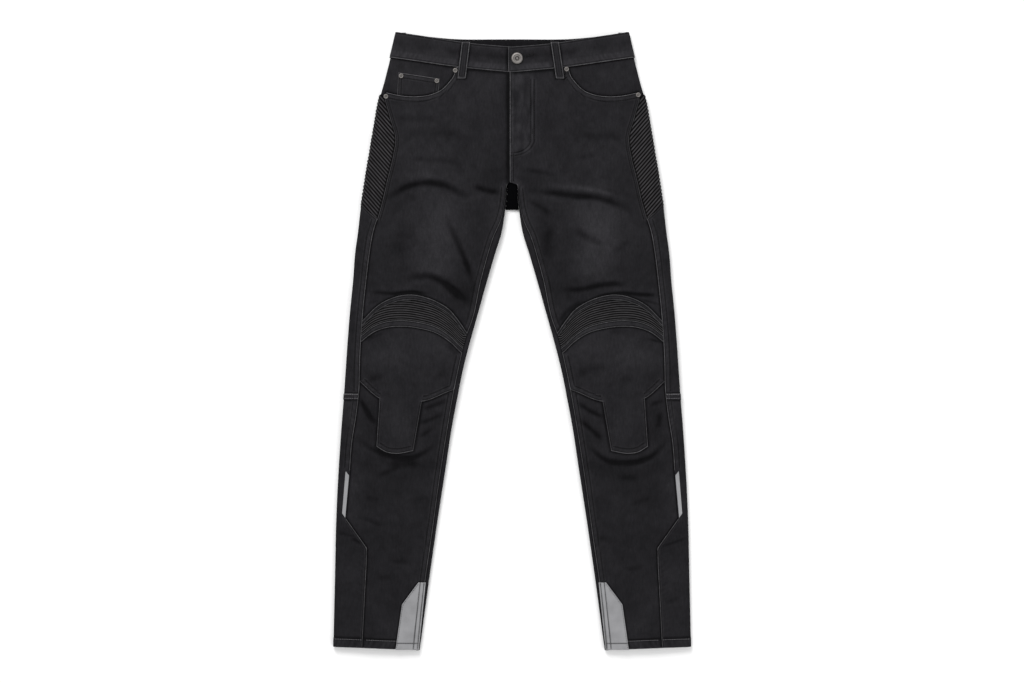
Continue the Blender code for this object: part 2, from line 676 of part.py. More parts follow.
def belt_loop(side):
    """A folded strip across the waistband, from above its edge to below its seam."""
    line = np.linspace(LOOPS[side][0], LOOPS[side][1], 7)
    grid = np.stack((line - (LOOP_WIDTH / 2, 0), line + (LOOP_WIDTH / 2, 0)), 1)
    return panel("belt_loop", side, grid, out=BAND_LIFT + SEAM_GAP + LOOP_WALL, thickness=LOOP_WALL)


def crotch_gusset():
    """The dark piece between the legs: a sloping strip from the fronts' fork, folded back along the floor."""
    y, z = np.array(GUSSET_PATH, float).T
    ahead = np.gradient(np.stack((y, z), -1), axis=0)
    ahead /= np.linalg.norm(ahead, axis=1)[:, None]
    room = np.where(y < NOTCH_Y, section("inner", y), section("inner", NOTCH_Y)) - 0.5
    x = room[:, None] * np.linspace(-1, 1, 5)[None]
    outer = np.stack((x, np.repeat(y[:, None], 5, 1), np.repeat(z[:, None], 5, 1)), -1)
    inward = np.stack((np.zeros(len(y)), -ahead[:, 1], ahead[:, 0]), -1)
    inner = outer + GUSSET_WALL * inward[:, None]
    return wall("crotch_gusset", [(outer, inner)], STRETCH, True)


def turned(name, side, x, y, lift, profile, steps, finish):
    """A round piece: a profile of (radius, height) spun about Z, standing on the cloth at (x, y)."""
    reach = profile[1][0]
    ring = np.linspace(0, 2 * math.pi, 8, endpoint=False)
    ground = form(side, x + reach * np.cos(ring), y + reach * np.sin(ring), lift)[:, 2].max()
    mesh = bpy.data.meshes.new(name)
    points = [(radius * MM, 0, height * MM) for radius, height in profile[::-1]]
    mesh.from_pydata(points, [(i, i + 1) for i in range(len(points) - 1)], [])
    piece = add_object(name, mesh, finish)
    piece.location = (SIDES[side] * x * MM, y * MM, (ground + SEAM_GAP) * MM)
    screw = piece.modifiers.new("spin", "SCREW")
    screw.steps = screw.render_steps = steps
    screw.use_merge_vertices = True
    screw.merge_threshold = 0.00001
    screw.use_smooth_shade = True
    return piece


def hardware():
    turned("tack_button", *BUTTON, BAND_LIFT, BUTTON_PROFILE, 18, GUNMETAL)
    for number, (side, x, y, lift) in enumerate(RIVETS, 1):
        turned(f"rivet_{number}", side, x, y, lift, RIVET_PROFILE, 10, GUNMETAL)


def build_all():
    for side in SIDES:
        front_thigh(side)
        pocket_facing(side)
        hip_rib(side)
        side_upper(side)
        side_lower(side)
        knee_pieces(side)
        shin_panel(side)
        shin_tab(side)
        reflective_strip(side)
        ankle_reflector(side)
        back_leg(side)
        waistband_front(side)
        belt_loop(side)
    waistband_back()
    crotch_gusset()
    coin_pocket()
    hardware()


clear_scene()
bpy.context.scene.collection.children.link(bpy.data.collections.new(COLLECTION))
build_all()
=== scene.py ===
"""Motorcycle trousers laid flat on their back: the cloth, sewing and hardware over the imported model.

Each panel of the frame is replaced by a thin wall of the same form with the cloth's relief: creases,
folded seam edges, puckers, ribs and thread. The form and its tables are in millimetres, as they are on
a maker's pattern, and are turned into metres where a mesh is written. A point of a panel is (p, y):
p is the distance from the garment's centre line across the front and on over the side fold.
"_r" is the wearer's right leg, which lies on the -X side, and "_l" the left leg.
"""

import math
from collections import namedtuple
from functools import partial

import bpy
import numpy as np
from bpy.props import FloatProperty, FloatVectorProperty, PointerProperty
from bpy.types import Operator, Panel, PropertyGroup
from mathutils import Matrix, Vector


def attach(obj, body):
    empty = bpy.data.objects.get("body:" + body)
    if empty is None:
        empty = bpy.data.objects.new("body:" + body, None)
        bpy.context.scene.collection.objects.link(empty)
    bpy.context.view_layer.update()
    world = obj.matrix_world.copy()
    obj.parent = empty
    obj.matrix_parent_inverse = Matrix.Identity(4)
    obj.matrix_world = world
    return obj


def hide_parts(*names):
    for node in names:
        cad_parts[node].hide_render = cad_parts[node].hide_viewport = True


bl_info = {
    "name": "Motorcycle trousers",
    "version": (1, 0, 0),
    "blender": (4, 5, 0),
    "location": "View3D > Sidebar > Trousers",
    "description": "Cloth, sewing, hardware and stage of a pair of motorcycle trousers laid flat",
    "category": "Object",
}

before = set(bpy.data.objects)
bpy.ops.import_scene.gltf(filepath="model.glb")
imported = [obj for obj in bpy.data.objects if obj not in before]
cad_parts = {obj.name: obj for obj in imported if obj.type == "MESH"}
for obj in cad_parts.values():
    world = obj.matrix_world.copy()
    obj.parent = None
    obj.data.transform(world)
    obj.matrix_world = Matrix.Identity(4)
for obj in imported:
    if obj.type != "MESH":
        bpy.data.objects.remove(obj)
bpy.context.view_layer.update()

MM = 0.001
SIDES = {"r": -1.0, "l": 1.0}

FOLD_WIDTH = 7.0  # how far a side fold reaches in from the outline
HEM_DEPTH = 14.0  # from a leg's end to its hem's stitches
FIRST_ROW = 1.8  # from a seam to its two rows of stitches
SECOND_ROW = 8.2
BACK_LIP = 10.0  # a side piece ends this far round the back
CROWN = 2.2  # the front stands this much higher in the middle of a leg
CROWN_REACH = 60.0
NOTCH_Y = 257.0  # below this the legs part, and each has an inner fold
NOTCH_TOP = 267.0  # top of the opening between the two fronts
FLY_SEAM = 4.0  # the fronts meet this far to the wearer's right of the centre
LAP_EDGE = 6.5  # and the waistband's ends this far
HIP_RIBS = 30
HIP_RIB_SLOPE = 0.8  # the rib panel's ends rise this much towards the side
HIP_RIB_SLANT = 1.15  # and its ribs this much
HIP_RIB_PITCH = 7.25  # down the panel, from rib to rib
RIB_DARK = {"r": 0.16, "l": 0.0}  # how much darker each hip's ribs are made
KNEE_RIBS = 9
KNEE_BAND_UPPER = 8.5  # width of the band above the knee's ribs, and below them
KNEE_BAND_LOWER = 10.5
KNEE_CLIMB = 26.0  # the knee panel climbs onto the shin over this distance
LEVEL_SEAM = -88.0  # where the side strip is joined by the knee

Section = namedtuple("Section", "y outer inner height")
SECTIONS = (
    Section(519.0, 196.5, 5.6, 13.5),
    Section(472.0, 207.5, 5.6, 15.0),
    Section(438.5, 216.0, 5.6, 16.0),
    Section(405.0, 225.0, 5.6, 16.5),
    Section(371.0, 231.0, 5.6, 17.0),
    Section(321.0, 239.5, 5.6, 17.0),
    Section(270.0, 248.0, 7.4, 16.5),
    Section(220.0, 255.5, 11.8, 16.0),
    Section(178.0, 260.5, 19.0, 15.5),
    Section(153.0, 264.0, 27.0, 15.0),
    Section(102.0, 268.0, 42.0, 15.0),
    Section(52.0, 273.0, 56.0, 15.5),
    Section(2.0, 277.0, 70.0, 16.0),
    Section(-49.0, 280.5, 83.0, 15.5),
    Section(-99.0, 284.0, 93.0, 14.5),
    Section(-150.0, 288.0, 102.5, 13.0),
    Section(-200.0, 291.5, 110.0, 12.0),
    Section(-301.0, 296.5, 125.5, 10.8),
    Section(-402.0, 299.0, 140.0, 10.0),
    Section(-522.0, 301.5, 156.0, 9.6),
)

Point = namedtuple("Point", "x y")
WAIST_TOP_FRONT = (Point(0, 494.5), Point(76, 501.5), Point(130, 510), Point(197, 520.5))
WAIST_TOP_BACK = (Point(0, 509.0), Point(105, 510.0), Point(150, 514.5), Point(197, 520.5))
WAIST_SEAM = (Point(0, 451.5), Point(77, 458.8), Point(204, 477))
HEM = (Point(150, -520.6), Point(302, -514.5))
POCKET_MOUTH = (
    Point(93, 463), Point(97, 449), Point(106, 435), Point(119, 422),
    Point(134, 415), Point(156, 411), Point(184, 412), Point(211, 417.5),
)
RIB_EDGE = (
    Point(214, 406), Point(205, 374), Point(196, 340), Point(200, 311),
    Point(210, 270), Point(219, 231), Point(226.5, 205),
)
SIDE_SEAM = (
    Point(226.5, 205), Point(231.5, 190), Point(240, 145), Point(244.5, 108), Point(251.5, 38.5),
    Point(255.5, -26), Point(257.5, -87), Point(262, -124), Point(269.5, -172), Point(273.5, -225),
)
ANKLE_SEAM = (
    Point(273.5, -225), Point(280, -298), Point(244.3, -348), Point(245.1, -378), Point(252.5, -520),
)
INSEAM = (
    Point(9.5, 265), Point(14.5, 221), Point(20, 200), Point(30, 178), Point(42, 140), Point(52, 103),
    Point(67, 35), Point(77, 8), Point(87.5, -35), Point(97, -80), Point(110, -155), Point(121, -225),
    Point(135.6, -331), Point(146, -402), Point(161, -522),
)
KNEE_UPPER = (
    Point(66, 6), Point(77, 16), Point(86, 29), Point(103, 50.5), Point(125, 65.5), Point(145, 73.5),
    Point(170, 78), Point(200, 73), Point(226, 59.5), Point(252, 34),
)
KNEE_LOWER = (
    Point(70, -20), Point(88, -7), Point(101, 6), Point(125, 22.5), Point(155, 31.5), Point(187, 35),
    Point(215, 32), Point(234, 24.5), Point(254, 9),
)
KNEE_END = (
    Point(90, -80), Point(98.5, -82), Point(150, -101), Point(187, -99), Point(223, -96), Point(257, -67),
)
TONGUE_TOP = (152.0, 222.5)
TONGUE_END = (Point(166.5, -184.5), Point(195, -189), Point(212, -186.5), Point(228, -177))
ANKLE_REFLECTOR_EDGE = (Point(158, -406), Point(185.5, -443), Point(196.5, -520))
ANKLE_REFLECTOR_INSEAM = (Point(145.5, -406), Point(157.5, -520))
STRIP_INNER = (Point(274.3, -225.5), Point(280.8, -297.5))
STRIP_OUTER = (Point(280.3, -217.5), Point(286.2, -290.0))
COIN_TOP = (Point(121.5, 440.5), Point(191.5, 451.4))
COIN_FOOT_X = (124.5, 193.0)
LOOPS = {"r": (Point(77.5, 502.5), Point(85.0, 441.0)), "l": (Point(71.5, 502.5), Point(80.5, 441.0))}
LOOP_WIDTH = 13.4
GUSSET_PATH = (
    (274, 14.3), (262, 13.7), (246, 10.0), (232, 6.3), (225, 4.5), (221.8, 3.4), (221, 2.1),
    (222, 0.7), (225, 0.0), (240, 0.0), (256.6, 0.0),
)
FLY_WIDTH = 38.0  # from the fly's foot to its stitches, which turn in a quarter-ellipse
FLY_TURN = 28.0
FLY_FOOT = Point(-1.0, 311.5)
FLY_TOP = 440.0
BUTTON_PLACE = Point(8.2, 474.8)
BUTTONHOLE_END = Point(28.5, 479.5)
RivetPlace = namedtuple("RivetPlace", "side x y lift")
RIVETS = (
    RivetPlace("r", 95.6, 454.5, 0.9), RivetPlace("l", 91.4, 456.5, 0.9),
    RivetPlace("r", 212.0, 411.0, 0.9), RivetPlace("l", 211.7, 413.5, 0.9),
    RivetPlace("r", 186.5, 445.5, 0.9), RivetPlace("r", 126.5, 437.0, 0.9),
)

# A crease is a trough (negative depth) or ridge along a line of the wearer's leg.
Crease = namedtuple("Crease", "depth width points")
CREASES = {
    "r": (
        Crease(-2.4, 7.0, ((216, 236), (195, 250), (168, 262), (140, 266), (110, 260), (87, 248), (68, 243))),
        Crease(-2.4, 6.5, ((66, 261), (41, 252), (18, 250))),
        Crease(-1.9, 6.0, ((112, 212), (101, 185), (87, 155), (75, 125), (64, 91))),
        Crease(-2.5, 7.5, ((183, 104), (142, 109), (115, 98), (92, 79), (70, 64))),
        Crease(-2.3, 3.8, ((244, 84), (202, 79.5), (172, 82.5), (138, 78.5))),
        Crease(-0.9, 6.0, ((180, 306), (130, 304), (84, 297))),
        Crease(-0.6, 8.0, ((190, 345), (120, 349), (70, 340))),
        Crease(-0.5, 7.0, ((200, 180), (160, 172))),
        Crease(-1.0, 2.4, ((243, 64), (224, 67))),
        Crease(-1.1, 4.0, ((246, 2), (212, 15))),
        Crease(-1.0, 5.0, ((110, -5), (88, -27))),
        Crease(-0.9, 6.0, ((242, -66), (214, -57))),
        Crease(-0.6, 6.0, ((130, -60), (104, -52))),
        Crease(-2.3, 5.5, ((257, -95), (241, -124), (226, -141))),
        Crease(-2.2, 5.5, ((260, -163), (236, -181), (207, -193), (181, -197), (157, -192), (124, -171))),
        Crease(-1.7, 4.5, ((152, -114), (130, -108), (106, -98))),
        Crease(-1.5, 4.5, ((156, -139), (135, -131), (112, -120))),
        Crease(-1.1, 4.5, ((156, -161), (142, -153), (130, -142))),
        Crease(-0.6, 7.0, ((206, 377), (160, 372), (124, 375))),
        Crease(-1.2, 8.0, ((214, -207), (152, -205))),
        Crease(-1.1, 5.5, ((226, -227), (187, -211))),
        Crease(-1.0, 5.0, ((255, -297), (212, -312))),
        Crease(-0.9, 5.0, ((206, -370), (170, -372))),
        Crease(-0.7, 6.0, ((230, -400), (195, -396))),
        Crease(-1.0, 3.0, ((296, -322), (262, -329))),
        Crease(-1.2, 3.5, ((272, -331), (247, -344))),
        Crease(-0.6, 5.0, ((250, -262), (222, -268))),
        Crease(-0.5, 6.0, ((180, -270), (140, -262))),
        Crease(-0.7, 5.0, ((272, 160), (246, 150))),
        Crease(-0.6, 5.0, ((276, 20), (256, 12))),
        Crease(-0.7, 5.0, ((290, -140), (268, -150))),
    ),
    "l": (
        Crease(-2.5, 6.5, ((24, 253), (53, 250), (83, 247), (108, 243), (132, 242), (155, 237), (196, 221))),
        Crease(1.1, 5.0, ((60, 262), (110, 257), (160, 249), (190, 238))),
        Crease(-1.1, 5.0, ((22, 288), (50, 283), (78, 277))),
        Crease(-1.0, 8.0, ((108, 345), (150, 344), (188, 343))),
        Crease(-0.7, 6.0, ((112, 308), (140, 312))),
        Crease(-0.8, 5.0, ((140, 256), (180, 247))),
        Crease(-1.5, 6.0, ((26, 236), (46, 226), (66, 212))),
        Crease(-1.5, 7.0, ((104, 190), (127, 174), (157, 161))),
        Crease(-0.8, 11.0, ((62, 195), (58, 138))),
        Crease(-0.8, 6.0, ((168, 144), (198, 171))),
        Crease(-2.3, 5.5, ((84, 86), (116, 87), (146, 93.5), (169, 96), (194, 93))),
        Crease(-2.3, 3.8, ((138, 74), (181, 80.5), (216, 78), (250, 77))),
        Crease(-1.5, 5.0, ((78, 30), (94, 51), (123, 70))),
        Crease(-1.3, 2.4, ((216, 70), (252, 60))),
        Crease(-1.2, 2.6, ((228, 4), (255, -4))),
        Crease(-0.8, 7.0, ((160, 16), (200, 18))),
        Crease(-1.1, 8.0, ((106, -58), (132, -48), (158, -42))),
        Crease(-0.6, 6.0, ((180, -64), (210, -62))),
        Crease(-2.2, 5.0, ((108, -102), (130, -117), (158, -130))),
        Crease(-2.1, 5.5, ((112, -132), (124, -141), (140, -155), (154, -170))),
        Crease(-2.5, 5.5, ((124, -172), (152, -197), (174, -204), (205, -204), (232, -195), (260, -170))),
        Crease(-1.4, 4.0, ((231, -108), (255, -99))),
        Crease(-1.4, 6.0, ((250, -118), (245, -150))),
        Crease(-0.9, 7.0, ((180, -228), (214, -232))),
        Crease(-0.8, 6.0, ((200, -275), (236, -262))),
        Crease(-0.8, 6.0, ((136, -330), (174, -338))),
        Crease(-0.8, 5.0, ((190, -385), (222, -380))),
        Crease(-1.2, 3.0, ((248, -346), (264, -342), (296, -330))),
        Crease(-1.0, 5.0, ((256, -440), (284, -432))),
        Crease(-0.7, 5.0, ((272, 140), (246, 132))),
        Crease(-0.6, 5.0, ((284, -60), (262, -52))),
    ),
}

# A seam's cloth is doubled over for its width.
Seam = namedtuple("Seam", "line lift width rope wear")
Shade = namedtuple("Shade", "line reach")  # painted shadow beside the edge of a cloth that lies on top
Cloth = namedtuple("Cloth", "side face seams base under shades lines", defaults=((), ()))

EDGE_STEPS = np.array((0, 0.3, 0.7, 1.2, 1.8, 2.5, 3.4, 4.6, 5.8, 6.8, 7.5, 8.2, 8.9, 9.8, 11.4))
TWILL_PITCH = 0.0009  # between the cloth's slanting ribs, in metres
CAMERA_SHIFT = (-0.0003, -0.0006)  # from the origin to the picture's middle, in metres
PICTURE_HEIGHT = 0.016  # of the plane on which the picture's width is measured, in metres
EDGE_ROLL = 0.9  # a folded edge turns down over this distance
GRID = 3.0


def cloth_size(name):
    """One of the cloth's sizes, in millimetres."""
    return getattr(bpy.context.scene.trousers_cloth, name) / MM


def smoothstep(t):
    t = np.clip(t, 0, 1)
    return t * t * (3 - 2 * t)


def through(t, stations, values):
    """A smooth curve through the values at their stations: cubic Hermite, slopes from neighbours."""
    stations = np.asarray(stations, float)
    values = np.asarray(values, float)
    slopes = np.gradient(values, stations)
    i = np.clip(np.searchsorted(stations, t) - 1, 0, len(stations) - 2)
    span = stations[i + 1] - stations[i]
    s = (np.clip(t, stations[0], stations[-1]) - stations[i]) / span
    start = (1 + 2 * s) * (1 - s) ** 2 * values[i] + s * (1 - s) ** 2 * span * slopes[i]
    end = s * s * (3 - 2 * s) * values[i + 1] - s * s * (1 - s) * span * slopes[i + 1]
    return start + end


def section(column, y):
    rows = SECTIONS[::-1]
    return through(y, [row.y for row in rows], [getattr(row, column) for row in rows])


def across(points, x):
    """Height y of a seam that runs across the garment, at x."""
    return through(x, [p.x for p in points], [p.y for p in points])


def down(points, y):
    """Distance x of a seam that runs down the garment, at y, straight between its points."""
    rows = points[::-1]
    return np.interp(y, [p.y for p in rows], [p.x for p in rows])


def down_smooth(points, y):
    rows = points[::-1]
    return through(y, [p.y for p in rows], [p.x for p in rows])


Fold = namedtuple("Fold", "outer inner half quarter")


def fold(y):
    """Where the two folds start at y, half their height, and the length of a quarter turn."""
    half = section("height", y) / 2
    quarter = math.pi / 2 * np.sqrt((FOLD_WIDTH**2 + half**2) / 2)
    return Fold(section("outer", y) - FOLD_WIDTH, section("inner", y) + FOLD_WIDTH, half, quarter)


def unroll(x, y):
    """The panel distance p of a point seen at x on the front."""
    at = fold(y)
    outer = np.clip((x - at.outer) / FOLD_WIDTH, 0, 1)
    inner = np.where(y <= NOTCH_Y, np.clip((at.inner - x) / FOLD_WIDTH, 0, 1), 0)
    turn = np.arcsin(outer) - np.arcsin(inner)
    flat = np.where(outer > 0, at.outer, np.where(inner > 0, at.inner, x))
    return flat + at.quarter * turn / (math.pi / 2)


def ripple(x, y, size, seed):
    """Random field from -1 to 1: a lattice of random values, blended between with smoothstep."""
    lattice = np.random.default_rng(seed).uniform(-1, 1, (67, 67))
    x, y = np.broadcast_arrays(np.asarray(x, float) / size, np.asarray(y, float) / size)
    i = np.floor(x).astype(int)
    j = np.floor(y).astype(int)
    u = smoothstep(x - i)
    v = smoothstep(y - j)
    low = lattice[i % 67, j % 67] * (1 - u) + lattice[(i + 1) % 67, j % 67] * u
    high = lattice[i % 67, (j + 1) % 67] * (1 - u) + lattice[(i + 1) % 67, (j + 1) % 67] * u
    return low * (1 - v) + high * v


def creased(creases, p, y):
    """Sum of the creases at points (p, y).

    Across a crease the height is depth * (1 - 0.55 * (d / width)^2) * exp(-(d / width)^2), which raises
    a soft flank on both sides, and its strength falls off towards the two ends.
    """
    points = np.stack((p.ravel(), y.ravel()), -1)
    wave = np.zeros(len(points))
    for crease in creases:
        line = np.array(crease.points, float)
        reach = 3 * crease.width
        near = np.flatnonzero(
            ((points > line.min(0) - reach) & (points < line.max(0) + reach)).all(1))
        if not len(near):
            continue
        line = rounded(line)
        d, run = off_line(points[near], line)
        length = length_of(line)
        end = smoothstep(0.15 + run / (0.35 * length)) * smoothstep(0.15 + (length - run) / (0.35 * length))
        t = (d / crease.width) ** 2
        uneven = 1 + 0.25 * ripple(run, 0, 31, 81)
        wave[near] += crease.depth * (1 - 0.55 * t) * np.exp(-t) * end * uneven
    return wave.reshape(p.shape)


def rounded(line):
    """The line with its corners rounded: a smooth curve through its points."""
    if len(line) < 3:
        return line
    knots = np.arange(len(line))
    t = np.linspace(0, len(line) - 1, 4 * (len(line) - 1) + 1)
    return np.stack([through(t, knots, line[:, k]) for k in (0, 1)], -1)


def relief(side, p, y, at):
    """Crown, creases and small wrinkles of the front: zero where a fold starts."""
    inner_room = p - at.inner + 1.5 * np.maximum(0, y - NOTCH_Y)
    outer_room = at.outer - p
    crown = CROWN * smoothstep(inner_room / CROWN_REACH) * smoothstep(outer_room / CROWN_REACH)
    seed = 11 if side == "r" else 12
    small = 0.22 * ripple(p, y * 1.7, 37, seed) + 0.10 * ripple(p, y * 1.4, 13, seed + 4)
    edge = smoothstep(inner_room / 14) * smoothstep(outer_room / 14)
    return crown + (creased(CREASES[side], p, y) + small) * edge


def back_relief(side, p, y, at):
    """Shallow troughs of the back, which otherwise lies flat on the floor."""
    edge = smoothstep((p - at.inner) / 20) * smoothstep((at.outer - p) / 20)
    seed = 21 if side == "r" else 22
    wave = 0.9 * ripple(p, y * 1.8, 60, seed) + 0.3 * ripple(p, y * 1.5, 24, seed + 4)
    return np.maximum(wave, 0) * edge


def form(side, p, y, out, face=1):
    """Points of the garment at (p, y), moved out of its surface by out.

    On the front (face 1) the surface is z = height + relief, and past a fold's start it follows
    the half-ellipse down to the floor. The back (face -1) is the same with z turned over.
    """
    p, y, out = np.broadcast_arrays(np.asarray(p, float), np.asarray(y, float), np.asarray(out, float))
    at = fold(y)
    over = np.maximum(p - at.outer, 0)
    under = np.where(y <= NOTCH_Y, np.maximum(at.inner - p, 0), 0)
    turn = (over + under) / at.quarter * (math.pi / 2)
    way = np.where(over > 0, 1.0, -1.0)
    start = np.where(over > 0, at.outer, np.where(under > 0, at.inner, p))
    folded = np.clip(turn, 0, math.pi)
    past = np.maximum(over + under - 2 * at.quarter, 0)
    normal_x = np.sin(folded) / FOLD_WIDTH
    normal_z = np.cos(folded) / at.half
    size = np.hypot(normal_x, normal_z)
    x = start + way * (FOLD_WIDTH * np.sin(folded) - past + out * normal_x / size)
    z = at.half + at.half * np.cos(folded) + out * normal_z / size
    if face > 0:
        z = np.maximum(z + np.where(turn == 0, relief(side, p, y, at), 0), 0)
    else:
        z = np.maximum(2 * at.half - z + np.where(turn == 0, back_relief(side, p, y, at), 0), 0)
    return np.stack((SIDES[side] * x, y, z), -1)


def at_shares(line, shares):
    """Points of a line of (p, y) at shares of its length."""
    run = np.concatenate(([0], np.cumsum(np.hypot(*np.diff(line, axis=0).T))))
    return np.stack([np.interp(shares * run[-1], run, line[:, k]) for k in (0, 1)], -1)


def length_of(line):
    return float(np.hypot(*np.diff(line, axis=0).T).sum())


def spaced(length, step):
    """Shares from 0 to 1 along a line: close together beside both ends, even between them."""
    near = EDGE_STEPS * min(1, length / (2.6 * EDGE_STEPS[-1])) / length
    count = max(int(round((1 - 2 * near[-1]) * length / step)), 1)
    middle = np.linspace(near[-1], 1 - near[-1], count + 1)[1:-1]
    return np.concatenate((near, middle, 1 - near[::-1]))


def between(top, bottom, inner, outer, u, v):
    """Grid between four lines of points: both rulings less the corners' bilinear surface."""
    u = u[None, :, None]
    v = v[:, None, None]
    ruled = (1 - v) * top[None] + v * bottom[None] + (1 - u) * inner[:, None] + u * outer[:, None]
    corners = (1 - v) * ((1 - u) * top[0] + u * top[-1]) + v * ((1 - u) * bottom[0] + u * bottom[-1])
    return ruled - corners


def patch(top, bottom, inner, outer, step=GRID):
    """Grid of (p, y) between four lines, closer near all four."""
    across_shares = spaced(max(length_of(top), length_of(bottom)), step)
    down_shares = spaced(max(length_of(inner), length_of(outer)), step)
    top = at_shares(top, across_shares)
    bottom = at_shares(bottom, across_shares)
    inner = at_shares(inner, down_shares)
    outer = at_shares(outer, down_shares)
    return between(top, bottom, inner, outer, across_shares, down_shares)


def off_line(points, line):
    """Distance of each point to a line of (p, y), and how far along the line the nearest place is."""
    step = np.diff(line, axis=0)
    length = np.hypot(*step.T)
    before = np.concatenate(([0], np.cumsum(length)[:-1]))
    rel = points[:, None] - line[None, :-1]
    t = np.clip((rel * step).sum(-1) / length**2, 0, 1)
    gap = np.hypot(rel[..., 0] - t * step[:, 0], rel[..., 1] - t * step[:, 1])
    nearest = gap.argmin(1)
    row = np.arange(len(points))
    return gap[row, nearest], before[nearest] + t[row, nearest] * length[nearest]


def coarse(line, step=5.0):
    return at_shares(line, np.linspace(0, 1, max(int(length_of(line) / step), 2) + 1))


def line_across(points, start, end, shift=0.0):
    x = np.linspace(start, end, 120)
    y = across(points, x) + shift
    return np.stack((unroll(x, y), y), -1)


def line_of(points, count=120):
    """The points of a line, evenly spaced."""
    return at_shares(points, np.linspace(0, 1, count))


def line_down(run, start, end):
    y = np.linspace(start, end, 120)
    return np.stack((unroll(run(y), y), y), -1)


def crossing(points, run, guess):
    """Where a seam across meets a seam down, by going to and fro between the two."""
    y = guess
    for _ in range(14):
        x = float(run(y))
        y = float(across(points, x))
    return Point(x, y)


def inseam_x(y):
    return down_smooth(INSEAM, y)


def side_x(y):
    return down_smooth(SIDE_SEAM, y)


def outer_x(y):
    """The front's outer edge below the knee: side seam, then the angled ankle seam."""
    return np.where(y > ANKLE_SEAM[0].y, side_x(y), down(ANKLE_SEAM, y))


def inseam_line(start, end):
    return line_down(inseam_x, start, end)


def side_line(start, end):
    return line_down(side_x, start, end)


def rib_line(y, count=60):
    """A rib from the front's edge, up and out to the fold, and level round it to the back."""
    shares = np.linspace(0, 1, count)
    first = float(down_smooth(RIB_EDGE, y))
    rise = HIP_RIB_SLOPE * (float(section("outer", y)) - first)
    height = np.full(count, float(y))
    for _ in range(5):
        at = fold(height)
        p = first + (at.outer + 2 * at.quarter + BACK_LIP - first) * shares
        height = y + rise * np.clip((p - first) / (at.outer + at.quarter / 2 - first), 0, 1)
    return np.stack((p, height), -1)


def lip_line(start, end):
    y = np.linspace(start, end, 120)
    at = fold(y)
    return np.stack((at.outer + 2 * at.quarter + BACK_LIP, y), -1)


def knee_line(points, shift=0.0):
    moved = [Point(point.x, point.y + shift) for point in points]
    inner = crossing(moved, inseam_x, 0)
    outer = crossing(moved, side_x, 20)
    return line_across(moved, inner.x, outer.x)


def beside(line, offset, centre, trim=1.0):
    """The line moved sideways by offset towards centre, and shortened by trim at both ends."""
    run = length_of(line)
    line = at_shares(line, np.linspace(trim / run, 1 - trim / run, max(int(run / 2), 3)))
    ahead = np.gradient(line, axis=0)
    ahead /= np.hypot(*ahead.T)[:, None]
    normal = np.stack((-ahead[:, 1], ahead[:, 0]), -1)
    middle = len(line) // 2
    sign = np.sign(np.dot(np.asarray(centre) - line[middle], normal[middle]))
    return line + sign * offset * normal


def dress(cloth, points):
    """Height of a cloth over its form, its wear and its change of tone by seams, at points (p, y).

    Along a seam with lift the cloth is doubled over for the seam's width, rises in a quarter-ellipse
    from its folded edge, and puckers in slanting waves whose strength changes along the seam.
    A line of stitches lies in a groove, painted darker as shade. The tone follows the puckers' waves,
    paler on their crests and darker in their hollows: partly wash and partly painted shade.
    """
    flat = points.reshape(-1, 2)
    lift = np.zeros(len(flat))
    waves = np.zeros(len(flat))
    rolls = np.ones(len(flat))
    wear = np.zeros(len(flat))
    tone = np.zeros(len(flat))
    for number, seam in enumerate(cloth.seams):
        d, run = off_line(flat, coarse(seam.line))
        rolls *= np.sqrt(1 - (1 - np.clip(d / EDGE_ROLL, 0, 1)) ** 2)
        doubled = 1 - smoothstep((d - seam.width) / 2.5)
        lift = np.maximum(lift, seam.lift * doubled)
        uneven = 0.6 + 0.4 * ripple(run, 0, 27, 31 + number)
        beat = 0.6 * np.sin((run + 0.5 * d) * 2 * math.pi / 8.5 + 2.4 * ripple(run, 0, 19, 41 + number))
        beat = beat + 0.8 * ripple(run, 0.4 * d, 4.5, 45 + number)
        near = np.exp(-(((d - 0.5 * seam.width) / (0.6 * seam.width + 1)) ** 2))
        waves += seam.rope * beat * uneven * near
        # The puckers' tone follows their waves, partly wash and partly painted shade; the doubled cloth is
        # paler with wear.
        tone += 3.2 * seam.rope * beat * uneven * near + 0.22 * seam.wear * doubled
        edge = np.exp(-((d / 0.8) ** 2)) * (0.75 + 0.25 * ripple(run, d, 5, 51 + number))
        wear = np.maximum(wear, seam.wear * edge)
    sunk = np.zeros(len(flat))
    for line in cloth.lines:
        d, run = off_line(flat, coarse(line))
        sunk = np.maximum(sunk, np.exp(-((d / 0.9) ** 2)))
        rubbed = 0.05 * np.exp(-(((d - 1.7) / 0.7) ** 2))
        wear = np.maximum(wear, rubbed * (0.6 + 0.4 * ripple(run, d, 6, 55)))
    floor = cloth.under + 0.1
    out = floor + (cloth.base + lift + waves - 0.25 * sunk - floor) * rolls
    shape = points.shape[:-1]
    # The stitches' grooves get painted shade.
    return out.reshape(shape), wear.reshape(shape), (tone - 1.3 * sunk).reshape(shape)
